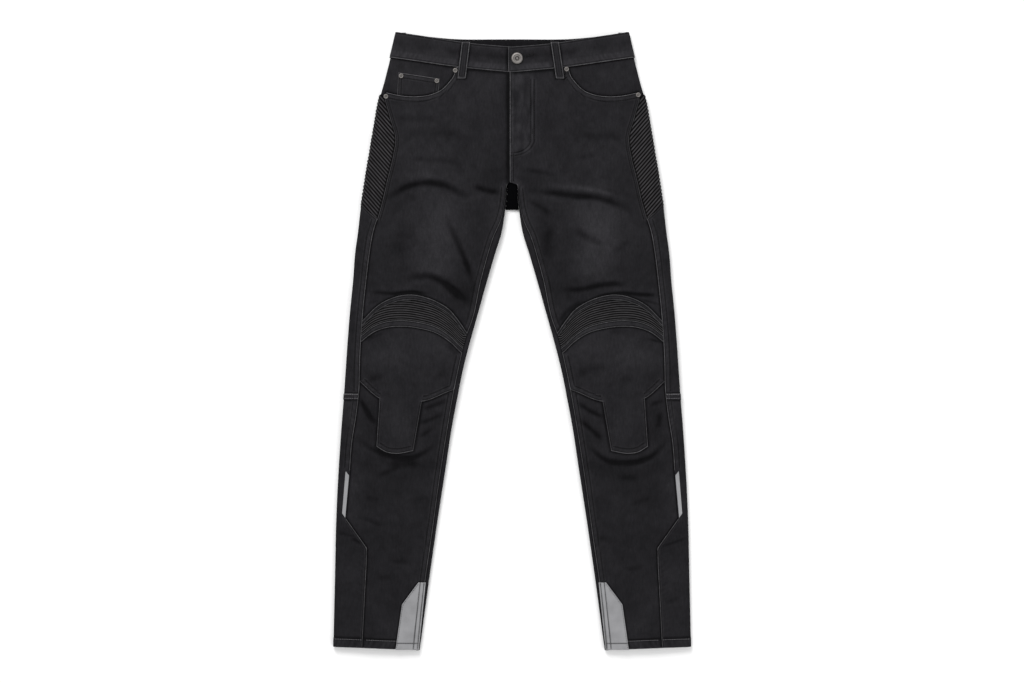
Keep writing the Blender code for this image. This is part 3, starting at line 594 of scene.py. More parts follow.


# Where the cloth is washed out; where the amount is negative, painted shade by folds and below the knee's
# tongue.
Fade = namedtuple("Fade", "x y reach_x reach_y amount")
WASH_AND_SHADE_PATCHES = {
    "r": (
        Fade(128, 195, 42, 60, 0.58),
        Fade(125, 140, 36, 30, 0.4),
        Fade(135, 300, 60, 40, 0.2),
        Fade(150, 400, 50, 40, 0.15),
        Fade(170, -10, 60, 45, 0.4),
        Fade(190, -145, 24, 30, 0.35),
        Fade(200, -300, 55, 110, -0.15),
        Fade(165, 60, 40, 20, 0.1),
        Fade(60, 400, 40, 60, 0.1),
        Fade(235, -440, 40, 60, -0.1),
        Fade(194, 157, 15, 12, -0.4),
        Fade(84, 76, 24, 22, -0.5),
        Fade(235, 110, 20, 40, -0.2),
        Fade(150, 278, 40, 9, 0.3),
        Fade(240, -125, 18, 30, -0.2),
        Fade(135, -135, 22, 30, -0.15),
        Fade(190, -205, 70, 16, -0.3),
        Fade(60, 300, 40, 50, -0.1),
        Fade(26, 290, 30, 24, -0.2),
    ),
    "l": (
        Fade(147, 200, 34, 40, 0.95),
        Fade(132, 142, 30, 26, 0.65),
        Fade(165, 165, 30, 30, 0.4),
        Fade(135, 300, 60, 40, 0.1),
        Fade(175, -15, 60, 45, 0.5),
        Fade(185, -145, 26, 30, 0.25),
        Fade(205, -300, 55, 110, -0.15),
        Fade(165, 62, 40, 20, 0.1),
        Fade(270, -440, 30, 60, 0.1),
        Fade(60, 170, 16, 36, -0.25),
        Fade(100, 82, 26, 18, -0.3),
        Fade(228, 110, 20, 40, -0.2),
        Fade(135, 258, 40, 8, 0.35),
        Fade(245, -135, 14, 30, -0.2),
        Fade(128, -140, 24, 30, -0.15),
        Fade(190, -212, 70, 16, -0.3),
        Fade(60, 300, 40, 50, -0.05),
        Fade(110, 176, 16, 12, -0.3),
    ),
}


def faded(cloth, points, tone):
    """How washed out the cloth is at points (p, y), from -1, darkest, to 1, with tone added.

    It is more in soft patches and on ridges, where it rubs, and less in creases, which is partly wash and
    partly painted shade. Beside the edge of a cloth that lies on top it gets a painted shadow, and the
    patches with a negative amount are painted shade.
    """
    p, y = points[..., 0], points[..., 1]
    total = tone + 0.16 * ripple(p, y, 30, 61) + 0.12 * ripple(p, y, 11, 62)
    if cloth.face > 0:
        for spot in WASH_AND_SHADE_PATCHES[cloth.side]:
            off = ((p - spot.x) / spot.reach_x) ** 2 + ((y - spot.y) / spot.reach_y) ** 2
            total = total + spot.amount * np.exp(-off)
        # Creases: paler flanks and darker troughs, partly wash and partly painted shade.
        total = total + 0.55 * creased(CREASES[cloth.side], p, y)
    flat = points.reshape(-1, 2)
    for shade in cloth.shades:
        d, _ = off_line(flat, coarse(shade.line))
        total = total - 1.7 * np.exp(-((d / shade.reach) ** 2)).reshape(p.shape)
    return np.clip(total, -1, 1)


def grid_quads(rows, columns, first=0):
    ids = first + np.arange(rows * columns).reshape(rows, columns)
    return np.stack((ids[:-1, :-1], ids[:-1, 1:], ids[1:, 1:], ids[1:, :-1]), -1).reshape(-1, 4)


def mesh_object(name, points, quads, smooth, uv=None, values=None):
    """A mesh object from arrays of points in millimetres and of quads."""
    mesh = bpy.data.meshes.new(name)
    mesh.vertices.add(len(points))
    mesh.vertices.foreach_set("co", (points * MM).astype(np.float32).ravel())
    mesh.loops.add(quads.size)
    mesh.loops.foreach_set("vertex_index", quads.astype(np.int32).ravel())
    mesh.polygons.add(len(quads))
    mesh.polygons.foreach_set("loop_start", np.arange(0, quads.size, 4, dtype=np.int32))
    mesh.polygons.foreach_set("use_smooth", smooth)
    mesh.update(calc_edges=True)
    if uv is not None:
        layer = mesh.uv_layers.new(name="cloth")
        layer.uv.foreach_set("vector", (uv * MM)[quads].astype(np.float32).ravel())
    for key, numbers in (values or {}).items():
        mesh.attributes.new(key, "FLOAT", "POINT").data.foreach_set("value", numbers.astype(np.float32))
    piece = bpy.data.objects.new(name, mesh)
    bpy.context.scene.collection.objects.link(piece)
    return piece


def wall(name, grids, outers, inners, turned, wears, wash_and_shades):
    """A closed wall from grids of outer and inner points, joined where they share points.

    The rim is a quad on each edge that one quad alone uses. turned reverses all the faces.
    """
    both = np.concatenate([np.concatenate(pair, -1).reshape(-1, 6) for pair in zip(outers, inners)])
    _, first, index = np.unique(np.round(both, 4), axis=0, return_index=True, return_inverse=True)
    index = index.reshape(-1)
    starts = np.cumsum([0] + [g.shape[0] * g.shape[1] for g in grids])
    quads = np.concatenate([grid_quads(*g.shape[:2], s) for g, s in zip(grids, starts)])
    quads = index[quads]
    count = len(first)
    ways = np.stack((quads, np.roll(quads, -1, 1)), -1).reshape(-1, 2)
    keys = np.sort(ways, axis=1) @ (count, 1)
    _, where, used = np.unique(keys, return_index=True, return_counts=True)
    open_ways = ways[where[used == 1]]
    rim = np.stack((open_ways[:, 1], open_ways[:, 0], open_ways[:, 0] + count, open_ways[:, 1] + count), -1)
    faces = np.concatenate((quads, quads[:, ::-1] + count, rim))
    if turned:
        faces = faces[:, ::-1]
    points = np.concatenate((both[first, :3], both[first, 3:]))
    flat = np.concatenate([g.reshape(-1, 2) for g in grids])[first]
    wear = np.concatenate([w.reshape(-1) for w in wears])[first]
    fade = np.concatenate([f.reshape(-1) for f in wash_and_shades])[first]
    values = {"wear": np.concatenate((wear, np.zeros(count))), "fade": np.tile(fade, 2)}
    smooth = np.arange(len(faces)) < 2 * len(quads)
    return mesh_object(name, points, faces, smooth, np.tile(flat, (2, 1)), values)


def threads(name, cloth, starts, ends):
    """Thread from point to point of a cloth: small tubes whose ends dive into it.

    Each tube is rings of four points about the straight line between its ends, lifted along the
    cloth's normal by an arch and narrowed at both ends.
    """
    look = bpy.context.scene.trousers_sewing
    radius = look.thread / MM / 2
    out_start = dress(cloth, starts)[0]
    out_end = dress(cloth, ends)[0]
    a = form(cloth.side, starts[:, 0], starts[:, 1], out_start, cloth.face)
    b = form(cloth.side, ends[:, 0], ends[:, 1], out_end, cloth.face)
    up = form(cloth.side, starts[:, 0], starts[:, 1], out_start + 1.0, cloth.face) - a
    ahead = b - a
    ahead /= np.linalg.norm(ahead, axis=1)[:, None]
    up -= (up * ahead).sum(1)[:, None] * ahead
    up /= np.maximum(np.linalg.norm(up, axis=1), 1e-6)[:, None]
    beside_way = np.cross(ahead, up)
    shares = np.array((0.0, 0.16, 0.5, 0.84, 1.0))
    lift = np.array((-0.7, 0.35, 0.7, 0.35, -0.7)) * radius
    width = np.array((0.55, 1.0, 1.05, 1.0, 0.55)) * radius
    angle = np.arange(4) * math.pi / 2 + math.pi / 4
    centre = a[:, None] + (b - a)[:, None] * shares[None, :, None] + up[:, None] * lift[None, :, None]
    ring = (
        up[:, None, None] * np.sin(angle)[None, None, :, None]
        + beside_way[:, None, None] * np.cos(angle)[None, None, :, None]
    )
    points = (centre[:, :, None] + ring * width[None, :, None, None]).reshape(-1, 3)
    k = np.arange(4)
    ring_quads = np.stack((k, (k + 1) % 4, (k + 1) % 4 + 4, k + 4), -1)
    ends = np.array(((3, 2, 1, 0), (16, 17, 18, 19)))
    tube = np.concatenate([ring_quads + 4 * i for i in range(4)] + [ends])
    quads = (tube[None] + 20 * np.arange(len(starts))[:, None, None]).reshape(-1, 4)
    return mesh_object(name, points, quads, np.ones(len(quads), bool))


def stitch_ends(line, pitch, length):
    """Starts and ends of the stitches that fit on a line of (p, y)."""
    run = length_of(line)
    middles = np.arange(pitch / 2, run - pitch / 2, pitch)
    return at_shares(line, (middles - length / 2) / run), at_shares(line, (middles + length / 2) / run)


def bartack_ends(centre, angle, length=10.0, width=2.2, count=14):
    """Starts and ends of a bartack: close stitches side by side across its length."""
    along = np.array((math.cos(angle), math.sin(angle)))
    side = np.array((-along[1], along[0]))
    middle = np.asarray(centre)[None] + along * np.linspace(-length / 2, length / 2, count)[:, None]
    return middle - side * width / 2, middle + side * width / 2


def add_piece(piece, material, nodes=()):
    piece.data.materials.append(finish(material))
    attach(piece, "root")
    if nodes:
        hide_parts(*nodes)
    return piece


def sewing(name, cloth, lines, tacks=(), material="thread"):
    """The stitches of one cloth, as one piece."""
    look = bpy.context.scene.trousers_sewing
    pairs = [stitch_ends(line, look.pitch / MM, look.stitch / MM) for line in lines]
    pairs += [bartack_ends(*tack) for tack in tacks]
    starts = np.concatenate([pair[0] for pair in pairs])
    ends = np.concatenate([pair[1] for pair in pairs])
    return add_piece(threads(f"{name}_stitching", cloth, starts, ends), material)


def cloth_piece(name, cloth, grids, material, lines=(), tacks=(), pale=(), loose=(), extra=None,
                unders=None, nodes=()):
    """A cloth over its form, with its stitches, in place of the frame's node of the same name and of nodes.

    Stitches on lines lie in grooves. On loose and pale they don't, and the pale ones are rubbed.
    extra gives each grid a further height, wear and tone, which is wash and painted shade, and unders the
    height of its inside.
    """
    cloth = cloth._replace(lines=tuple(lines))
    outs = []
    wears = []
    wash_and_shades = []
    for number, grid in enumerate(grids):
        out, wear, tone = dress(cloth, grid)
        more = extra[number] if extra is not None else (0.0, 0.0, 0.0)
        outs.append(out + more[0])
        wears.append(np.clip(wear + more[1], 0, 1))
        wash_and_shades.append(faded(cloth, grid, tone + more[2]))
    outers = [form(cloth.side, g[..., 0], g[..., 1], o, cloth.face) for g, o in zip(grids, outs)]
    unders = unders or [cloth.under] * len(grids)
    inners = [form(cloth.side, g[..., 0], g[..., 1], under, cloth.face) for g, under in zip(grids, unders)]
    piece = wall(f"{name}_cloth", grids, outers, inners, SIDES[cloth.side] > 0, wears, wash_and_shades)
    add_piece(piece, material, [name, *nodes])
    sewn = [sewing(name, cloth, [*lines, *loose], tacks)] if lines or tacks else []
    if pale:
        sewn.append(sewing(f"{name}_pale", cloth, pale, (), "pale_thread"))
    return piece


def finish(name):
    """The material of that name, made when it is first asked for."""
    return bpy.data.materials.get(name) or MATERIALS[name](name)


def colour(name, level=1.0):
    return (*(level * part for part in getattr(bpy.context.scene.trousers_colours, name)), 1)


class Graph:
    """A new material's node tree, with short ways to add and join nodes."""

    def __init__(self, name):
        self.material = bpy.data.materials.new(name)
        self.material.use_nodes = True
        self.nodes = self.material.node_tree.nodes
        self.links = self.material.node_tree.links
        self.shader = self.nodes["Principled BSDF"]

    def put(self, target, value):
        if isinstance(value, bpy.types.NodeSocket):
            self.links.new(value, target)
        else:
            target.default_value = value

    def add(self, kind, inputs=None, output=0, **settings):
        node = self.nodes.new(kind)
        for key, value in settings.items():
            setattr(node, key, value)
        for key, value in (inputs or {}).items():
            self.put(node.inputs[key], value)
        return node.outputs[output]

    def math(self, operation, a, b=0.0, c=0.0):
        return self.add("ShaderNodeMath", {0: a, 1: b, 2: c}, operation=operation)

    def clamp(self, value):
        return self.add("ShaderNodeClamp", {"Value": value})

    def mix(self, share, a, b, blend="MIX"):
        node = self.nodes.new("ShaderNodeMix")
        node.data_type = "RGBA"
        node.blend_type = blend
        self.put(node.inputs["Factor"], share)
        self.put(node.inputs[6], a)
        self.put(node.inputs[7], b)
        return node.outputs[2]

    def attribute(self, name):
        return self.add("ShaderNodeAttribute", output="Fac", attribute_name=name)

    def noise(self, vector, scale, detail=3.0, roughness=0.55):
        return self.add("ShaderNodeTexNoise", {
            "Vector": vector, "Scale": scale, "Detail": detail, "Roughness": roughness})

    def mapped(self, vector, scale=(1, 1, 1), turn=0.0):
        return self.add("ShaderNodeMapping", {"Vector": vector, "Scale": scale, "Rotation": (0, 0, turn)})

    def grey(self, value, low, high):
        """A grey level for a number from 0 to 1, from low to high."""
        return self.math("MULTIPLY_ADD", value, high - low, low)

    def bump(self, height, strength, distance):
        normal = self.add("ShaderNodeBump", {"Height": height, "Strength": strength, "Distance": distance})
        self.links.new(normal, self.shader.inputs["Normal"])

    def set(self, **values):
        for key, value in values.items():
            self.put(self.shader.inputs[key.replace("_", " ")], value)


def fly_grooves(g, uv):
    """Tone along the fly's two rows of stitches: painted shade in their grooves, and paler between and beside
    them.

    The distance from a row is that from an ellipse below the turn and from a straight line above.
    """
    p = g.add("ShaderNodeSeparateXYZ", {"Vector": uv}, output=0)
    y = g.add("ShaderNodeSeparateXYZ", {"Vector": uv}, output=1)
    turn_y = (FLY_FOOT.y + FLY_TURN) * MM
    below = g.math("MULTIPLY", g.math("MINIMUM", g.math("SUBTRACT", y, turn_y), 0.0), FLY_WIDTH / FLY_TURN)
    aside = g.math("SUBTRACT", p, FLY_FOOT.x * MM)
    away = g.math("SQRT", g.math("ADD", g.math("POWER", aside, 2.0), g.math("MULTIPLY", below, below)))
    total = 0.0
    for inward, reach, amount in ((0.0, 1.0, -1.0), (6.0, 1.0, -1.0), (3.0, 1.2, 0.45), (-3.0, 1.4, 0.3)):
        off = g.math("DIVIDE", g.math("SUBTRACT", away, (FLY_WIDTH - inward) * MM), reach * MM)
        hill = g.math("POWER", math.e, g.math("MULTIPLY", g.math("MULTIPLY", off, off), -1.0))
        total = g.math("MULTIPLY_ADD", hill, amount, total)
    return g.math("MULTIPLY", total, g.math("LESS_THAN", y, FLY_TOP * MM))


def woven(name, slub=1.0, sewn=None):
    """Twill cloth: slanting ribs of yarn, uneven yarns along the length, washed patches, worn edges, and
    painted shade where the cloth's tone attribute is below zero.

    sewn gives a change of tone at each place of the flat pattern.
    """
    g = Graph(name)
    uv = g.add("ShaderNodeUVMap", uv_map="cloth")
    twill = g.add("ShaderNodeTexWave", {
        "Vector": g.mapped(uv, turn=math.radians(27)), "Scale": 0.314 / TWILL_PITCH,
        "Distortion": 1.2, "Detail": 1.0, "Detail Scale": 1.5}, output=1, bands_direction="X")
    yarns = g.noise(g.mapped(uv, scale=(1, 0.09, 1)), 1500, 2.0)
    grain = g.noise(uv, 620, 3.0, 0.65)
    mottle = g.noise(uv, 90, 4.0, 0.6)
    streak = g.noise(g.mapped(uv, scale=(1, 0.22, 1)), 330, 2.0, 0.6)
    cloud = g.noise(uv, 14, 3.0)
    share = g.math("ADD", g.attribute("fade"), g.math("MULTIPLY_ADD", cloud, 0.6, -0.3))
    if sewn:
        share = g.math("ADD", share, sewn(g, uv))
    tone = g.mix(g.clamp(share), colour("denim"), colour("washed"))
    # Painted shade: below zero the denim darkens towards a third of its colour.
    tone = g.mix(g.clamp(g.math("MULTIPLY", share, -1.0)), tone, colour("denim", 0.3))
    level = g.math("MULTIPLY", g.grey(mottle, 0.72, 1.28), g.grey(grain, 0.62, 1.38))
    level = g.math("MULTIPLY", level, g.grey(streak, 0.68, 1.32))
    level = g.math("MULTIPLY", level, g.grey(yarns, 1 - 0.3 * slub, 1 + 0.3 * slub))
    level = g.math("MULTIPLY", level, g.grey(twill, 0.86, 1.14))
    tone = g.mix(1.0, tone, level, "MULTIPLY")
    rub = g.math("MULTIPLY", g.attribute("wear"), g.grey(g.noise(uv, 520, 3.0, 0.7), 0.1, 1.75))
    g.set(Base_Color=g.mix(g.clamp(rub), tone, colour("worn")), Roughness=0.9, Specular_IOR_Level=0.04)
    height = g.math("ADD", g.math("MULTIPLY", twill, 0.5), g.math("MULTIPLY", yarns, 0.4))
    height = g.math("ADD", height, g.math("MULTIPLY", grain, 0.5))
    g.bump(height, 0.6, 0.00018)
    return g.material


def stretch_knit(name):
    """Fine rib knit with small random pills."""
    g = Graph(name)
    uv = g.add("ShaderNodeUVMap", uv_map="cloth")
    loops = g.add("ShaderNodeTexVoronoi", {"Vector": g.mapped(uv, scale=(1, 0.6, 1)), "Scale": 1500})
    grain = g.noise(uv, 420, 3.0, 0.7)
    level = g.math("MULTIPLY", g.grey(loops, 1.2, 0.7), g.grey(grain, 0.5, 1.5))
    tone = g.mix(1.0, colour("ribs"), level, "MULTIPLY")
    # The rubbed crests are partly wear and partly painted highlight; below zero the tone attribute is painted
    # shade, near black, in the grooves.
    rub = g.math("MULTIPLY", g.attribute("wear"), g.grey(g.noise(uv, 700, 2.0, 0.6), 0.2, 1.6))
    tone = g.mix(g.clamp(g.math("MULTIPLY", g.attribute("fade"), -1.0)), tone, (0.002, 0.002, 0.002, 1))
    g.set(Base_Color=g.mix(g.clamp(rub), tone, colour("worn")), Roughness=0.9, Specular_IOR_Level=0.04)
    g.bump(g.math("ADD", loops, grain), 0.5, 0.00015)
    return g.material


def reflective_cloth(name):
    """Pale cloth coated with fine glass beads, a little soiled, with painted shade in its grooves."""
    g = Graph(name)
    uv = g.add("ShaderNodeUVMap", uv_map="cloth")
    beads = g.add("ShaderNodeTexVoronoi", {"Vector": uv, "Scale": 2400})
    soil = g.noise(uv, 55, 4.0, 0.6)
    grain = g.noise(uv, 900, 2.0)
    level = g.math("MULTIPLY", g.grey(soil, 0.78, 1.18), g.grey(grain, 0.85, 1.15))
    tone = g.mix(1.0, colour("reflective"), level, "MULTIPLY")
    # Painted shade in its grooves and creases.
    tone = g.mix(g.clamp(g.math("MULTIPLY", g.attribute("fade"), -0.8)), tone, (0.03, 0.03, 0.031, 1))
    g.set(Base_Color=tone, Roughness=0.42, Metallic=0.25)
    g.bump(g.math("ADD", beads, g.math("MULTIPLY", grain, 0.5)), 0.35, 0.0001)
    return g.material


def yarn(name, tint="thread"):
    g = Graph(name)
    place = g.add("ShaderNodeTexCoord", output="Object")
    fuzz = g.noise(place, 900, 2.0)
    tone = g.mix(1.0, colour(tint), g.grey(fuzz, 0.6, 1.4), "MULTIPLY")
    g.set(Base_Color=tone, Roughness=0.7, Specular_IOR_Level=0.2)
    g.bump(fuzz, 0.4, 0.0001)
    return g.material


def gunmetal(name):
    """Antique metal: dark in its hollows, rubbed bright on its rims, finely scratched."""
    g = Graph(name)
    place = g.add("ShaderNodeTexCoord", output="Object")
    stain = g.noise(place, 450, 4.0, 0.65)
    scratch = g.noise(g.mapped(place, scale=(1, 9, 1), turn=0.6), 900, 2.0)
    share = g.math("MULTIPLY", g.math("MULTIPLY_ADD", stain, 0.8, 0.5), g.attribute("rub"))
    tone = g.mix(g.clamp(share), colour("metal", 0.08), colour("metal"))
    g.set(Base_Color=tone, Metallic=0.75, Roughness=g.grey(stain, 0.45, 0.7))
    g.bump(g.math("ADD", scratch, stain), 0.2, 0.00006)
    return g.material


def gusset_cloth(name):
    g = Graph(name)
    uv = g.add("ShaderNodeUVMap", uv_map="cloth")
    knit = g.add("ShaderNodeTexVoronoi", {"Vector": uv, "Scale": 1600})
    # Near black: partly the gusset's black cloth and partly painted shade of the crotch hollow.
    tone = g.mix(1.0, (0.0022, 0.0022, 0.0026, 1), g.grey(knit, 1.3, 0.7), "MULTIPLY")
    g.set(Base_Color=tone, Roughness=0.95, Specular_IOR_Level=0.0)
    g.bump(knit, 0.5, 0.00015)
    return g.material


MATERIALS = {
    "washed_denim": woven,
    "fly_denim": partial(woven, sewn=fly_grooves),
    "facing_denim": partial(woven, slub=0.8),
    "stretch_knit": stretch_knit,
    "reflective_cloth": reflective_cloth,
    "thread": yarn,
    "pale_thread": partial(yarn, tint="worn"),
    "old_gunmetal": gunmetal,
    "gusset_cloth": gusset_cloth,
}


def fly_path():
    """The fly's stitches: straight down from the top, then a quarter-ellipse to the seam."""
    turn = np.linspace(0, math.pi / 2, 40)
    foot = np.stack((FLY_WIDTH * np.cos(turn), FLY_TURN * (1 - np.sin(turn))), -1) + FLY_FOOT
    return np.vstack(((foot[0, 0], FLY_TOP), foot))


def front_thigh(side):
    """Front from the waistband and the pocket mouth down to the knee."""
    seam_x = -SIDES[side] * FLY_SEAM
    waist = line_across(WAIST_SEAM, seam_x, 93.0)
    waist[:, 1] = across(WAIST_SEAM, np.abs(waist[:, 0]))
    mouth = line_across(POCKET_MOUTH, 93.0, 211.0)
    mouth[0] = waist[-1]
    low_inner = crossing(KNEE_UPPER, inseam_x, 10)
    low_outer = crossing(KNEE_UPPER, side_x, 38)
    centre = np.stack((np.full(60, seam_x), np.linspace(waist[0, 1], NOTCH_TOP, 60)), -1)
    fork = np.array(((8.5, NOTCH_TOP - 4), (9.5, NOTCH_Y + 1)))
    inseam = np.vstack((fork, inseam_line(NOTCH_Y - 1, low_inner.y)))
    rib = np.linspace(RIB_EDGE[0].y, RIB_EDGE[-1].y, 120)
    rib = np.stack((down_smooth(RIB_EDGE, rib), rib), -1)
    strip = side_line(RIB_EDGE[-1].y, low_outer.y)
    knee = line_across(KNEE_UPPER, low_inner.x, low_outer.x)
    top = np.vstack((waist, mouth))
    grid = patch(top, knee, np.vstack((centre, inseam)), np.vstack((mouth[-1:], rib, strip)))
    middle = Point(130, 250)
    lift = cloth_size("seam_lift")
    seams = [
        Seam(mouth, lift, 8.5, 0.04, 1.0),
        Seam(rib, lift, 5.0, 0.05, 0.55),
        Seam(inseam, lift, 8.0, 0.12, 0.8),
    ]
    lines = [
        beside(mouth, 1.9, middle), beside(mouth, 8.0, middle), beside(rib, 1.6, middle),
        beside(rib, 5.2, middle), beside(inseam, FIRST_ROW, middle, 4), beside(inseam, SECOND_ROW, middle, 6),
    ]
    tacks = []
    loop = np.array(LOOPS[side], float)
    half = np.array((LOOP_WIDTH / 2, 0))
    shades = [Shade(waist, 4.0), Shade(knee, 2.5), Shade(strip, 2.2), Shade(loop - half, 2.4),
              Shade(loop + half, 2.4)]
    tone = 0.0
    loose = []
    if side == "l":
        seams.append(Seam(centre, lift, 6.0, 0.15, 1.0))
        path = fly_path()
        loose = [path, beside(path, 6.0, Point(0, 380), 3)]
        lines += [beside(centre[:40], 2.0, middle, 3), beside(centre[44:], 6.2, middle, 1)]
        tacks = [((10.5, 309.5), math.radians(12), 9.0), ((34.0, 352.0), math.radians(90), 8.0)]
        p, y = grid[..., 0], grid[..., 1]
        fly = smoothstep((37 - p) / 4) * smoothstep((y - 312) / 8)
        tone = fly * (0.3 + 0.55 * ripple(p, 0.4 * y, 5.5, 91))
    else:
        shades += [Shade(centre, 6.0), Shade(centre, 2.5)]
    cloth = Cloth(side, 1, seams, 0.0, -cloth_size("wall"), tuple(shades))
    material = "fly_denim" if side == "l" else "washed_denim"
    return cloth_piece(f"front_thigh_{side}", cloth, [grid], material, lines, tacks,
                       loose=loose, extra=[(0.0, 0.0, tone)])


def pocket_facing(side):
    """The cloth behind the pocket mouth, round the side to the back. It runs on under the front."""
    mouth = line_across(POCKET_MOUTH, 93.0, 211.0)
    rib = rib_line(RIB_EDGE[0].y)
    bottom = np.vstack((mouth - (0, 9), rib))
    top_x = np.linspace(mouth[0, 0], float(fold(477.0).outer), 60)
    at = fold(477.0)
    wrap = np.linspace(at.outer, at.outer + 2 * at.quarter + BACK_LIP, 30)[1:]
    top_p = np.concatenate((top_x, wrap))
    top = np.stack((top_p, across(WAIST_SEAM, np.minimum(top_p, 204))), -1)
    inner = np.linspace(top[0], bottom[0], 20)
    outer = lip_line(top[-1, 1], bottom[-1, 1])
    outer[0] = top[-1]
    outer[-1] = bottom[-1]
    grid = patch(top, bottom, inner, outer)
    shades = (Shade(mouth, 2.6), Shade(top, 2.6), Shade(rib, 2.0))
    cloth = Cloth(side, 1, [], -1.3, -1.3 - cloth_size("wall"), shades)
    return cloth_piece(f"pocket_facing_{side}", cloth, [grid], "facing_denim")


def coin_pocket():
    """Small pocket on the facing with a doubled top hem."""
    top = np.linspace(COIN_TOP[0], COIN_TOP[1], 30)
    low_x = np.linspace(COIN_FOOT_X[0], COIN_FOOT_X[1], 30)
    bottom = np.stack((low_x, across(POCKET_MOUTH, low_x) - 5), -1)
    inner = np.linspace(top[0], bottom[0], 20)
    outer = np.linspace(top[-1], bottom[-1], 20)
    grid = patch(top, bottom, inner, outer, 1.6)
    middle = Point(157, 430)
    lift = cloth_size("seam_lift")
    seams = [
        Seam(top, 0.5 * lift, 8.0, 0.04, 0.8),
        Seam(inner, 0.4 * lift, 6.5, 0.05, 0.55),
        Seam(outer, 0.4 * lift, 6.5, 0.05, 0.55),
    ]
    lines = [
        beside(top, 1.6, middle), beside(top, 7.6, middle),
        beside(inner, 1.4, middle), beside(inner, 6.0, middle),
        beside(outer, 1.4, middle), beside(outer, 6.0, middle),
    ]
    shades = (Shade(beside(line_across(POCKET_MOUTH, 120.0, 196.0), 0.5, middle), 2.0),)
    cloth = Cloth("r", 1, seams, -0.3, -1.25, shades)
    return cloth_piece("coin_pocket_r", cloth, [grid], "washed_denim", lines)


def ribbed(beat, grid, seed):
    """Height from 0 to 1, crest wear and groove tone of ribs: each a half-round for every whole step of beat.

    The pale crests are partly rubbed wear and partly painted highlight; the tone is painted shade in the
    grooves.
    """
    off = 2 * (beat - np.floor(beat)) - 1
    ridge = np.sqrt(np.clip(1 - off**2, 0, 1))
    ridge = ridge * (1 + 0.14 * ripple(grid[..., 0], beat * 12, 13, seed))
    rubbed = 0.7 + 0.3 * ripple(grid[..., 0], beat * 9, 6, seed + 1)
    return ridge, np.exp(-((off / 0.34) ** 2)) * rubbed, -1.3 * np.clip(1.7 * np.abs(off) - 0.55, 0, 1)


def hip_rib(side):
    """Quilted ribs at the hip: parallel lines y - slant * p = constant, level round the side."""
    shares = np.linspace(0, 1, 74)
    y = np.linspace(RIB_EDGE[0].y, RIB_EDGE[-1].y, HIP_RIBS * 6 + 1)
    grid = np.stack([at_shares(rib_line(v, 90), shares) for v in y])
    p = np.minimum(grid[..., 0], fold(grid[..., 1]).outer + 6)
    beat = (grid[..., 1] - HIP_RIB_SLANT * p) / HIP_RIB_PITCH
    ridge, wear, fade = ribbed(beat, grid, 71)
    inside = smoothstep((grid[..., 0] - grid[:, :1, 0]) / 3.0)
    edge = line_of(grid[:, 0])
    cloth = Cloth(side, 1, [], 0.0, -cloth_size("wall"), (Shade(edge, 1.6),))
    fade = fade - RIB_DARK[side]
    extra = (cloth_size("rib_height") * (1.3 * ridge - 0.3) * inside, 0.3 * wear * inside, fade)
    return cloth_piece(f"hip_rib_{side}", cloth, [grid], "stretch_knit", extra=[extra])


def side_upper(side):
    """Side strip from the ribs to the level seam by the knee."""
    top = rib_line(RIB_EDGE[-1].y)
    inner = side_line(RIB_EDGE[-1].y, LEVEL_SEAM)
    outer = lip_line(top[-1, 1], LEVEL_SEAM)
    bottom = np.linspace(inner[-1], outer[-1], 60)
    grid = patch(top, bottom, inner, outer)
    lift = cloth_size("seam_lift")
    middle = Point(262, 60)
    seams = [Seam(top, 0.7 * lift, 4.0, 0.05, 0.5), Seam(inner, lift, 9.0, 0.13, 0.9)]
    lines = [
        beside(top, FIRST_ROW, middle), beside(inner, FIRST_ROW, middle, 2), beside(inner, 8.4, middle, 4),
    ]
    cloth = Cloth(side, 1, seams, 0.0, -cloth_size("wall"), (Shade(bottom, 1.6),))
    return cloth_piece(f"side_upper_{side}", cloth, [grid], "washed_denim", lines)


def side_lower(side):
    """Side strip from the level seam to the hem."""
    stations = (LEVEL_SEAM, -298, -348, -516.5)
    inner = np.vstack([line_down(outer_x, a, b) for a, b in zip(stations, stations[1:])])
    outer = lip_line(LEVEL_SEAM, -514.5)
    top = np.linspace(inner[0], outer[0], 60)
    bottom = np.linspace(inner[-1], outer[-1], 60)
    grid = patch(top, bottom, inner, outer)
    lift = cloth_size("seam_lift")
    middle = Point(300, -400)
    high = Point(290, -160)
    upper = inner[inner[:, 1] > -218]
    lower = inner[inner[:, 1] < -300]
    seams = [
        Seam(top, 0.8 * lift, 9.0, 0.08, 0.9), Seam(bottom, 0.6 * lift, HEM_DEPTH, 0.14, 0.5),
        Seam(upper, lift, 8.8, 0.13, 0.9), Seam(lower, lift, 3.5, 0.05, 0.8),
        Seam(lower, 0.0, 14.0, 0.09, 0.0),
    ]
    lines = [beside(upper, FIRST_ROW, high, 2), beside(upper, 8.4, high, 4), beside(lower, 1.6, middle, 2)]
    pale = [
        beside(top, FIRST_ROW, middle), beside(top, SECOND_ROW, middle), beside(bottom, HEM_DEPTH, middle),
    ]
    shades = (Shade(beside(top, 11.5, middle), 1.3), Shade(beside(bottom, HEM_DEPTH + 1.8, middle), 1.6))
    cloth = Cloth(side, 1, seams, 0.0, -cloth_size("wall"), shades)
    return cloth_piece(f"side_lower_{side}", cloth, [grid], "washed_denim", lines, pale=pale)


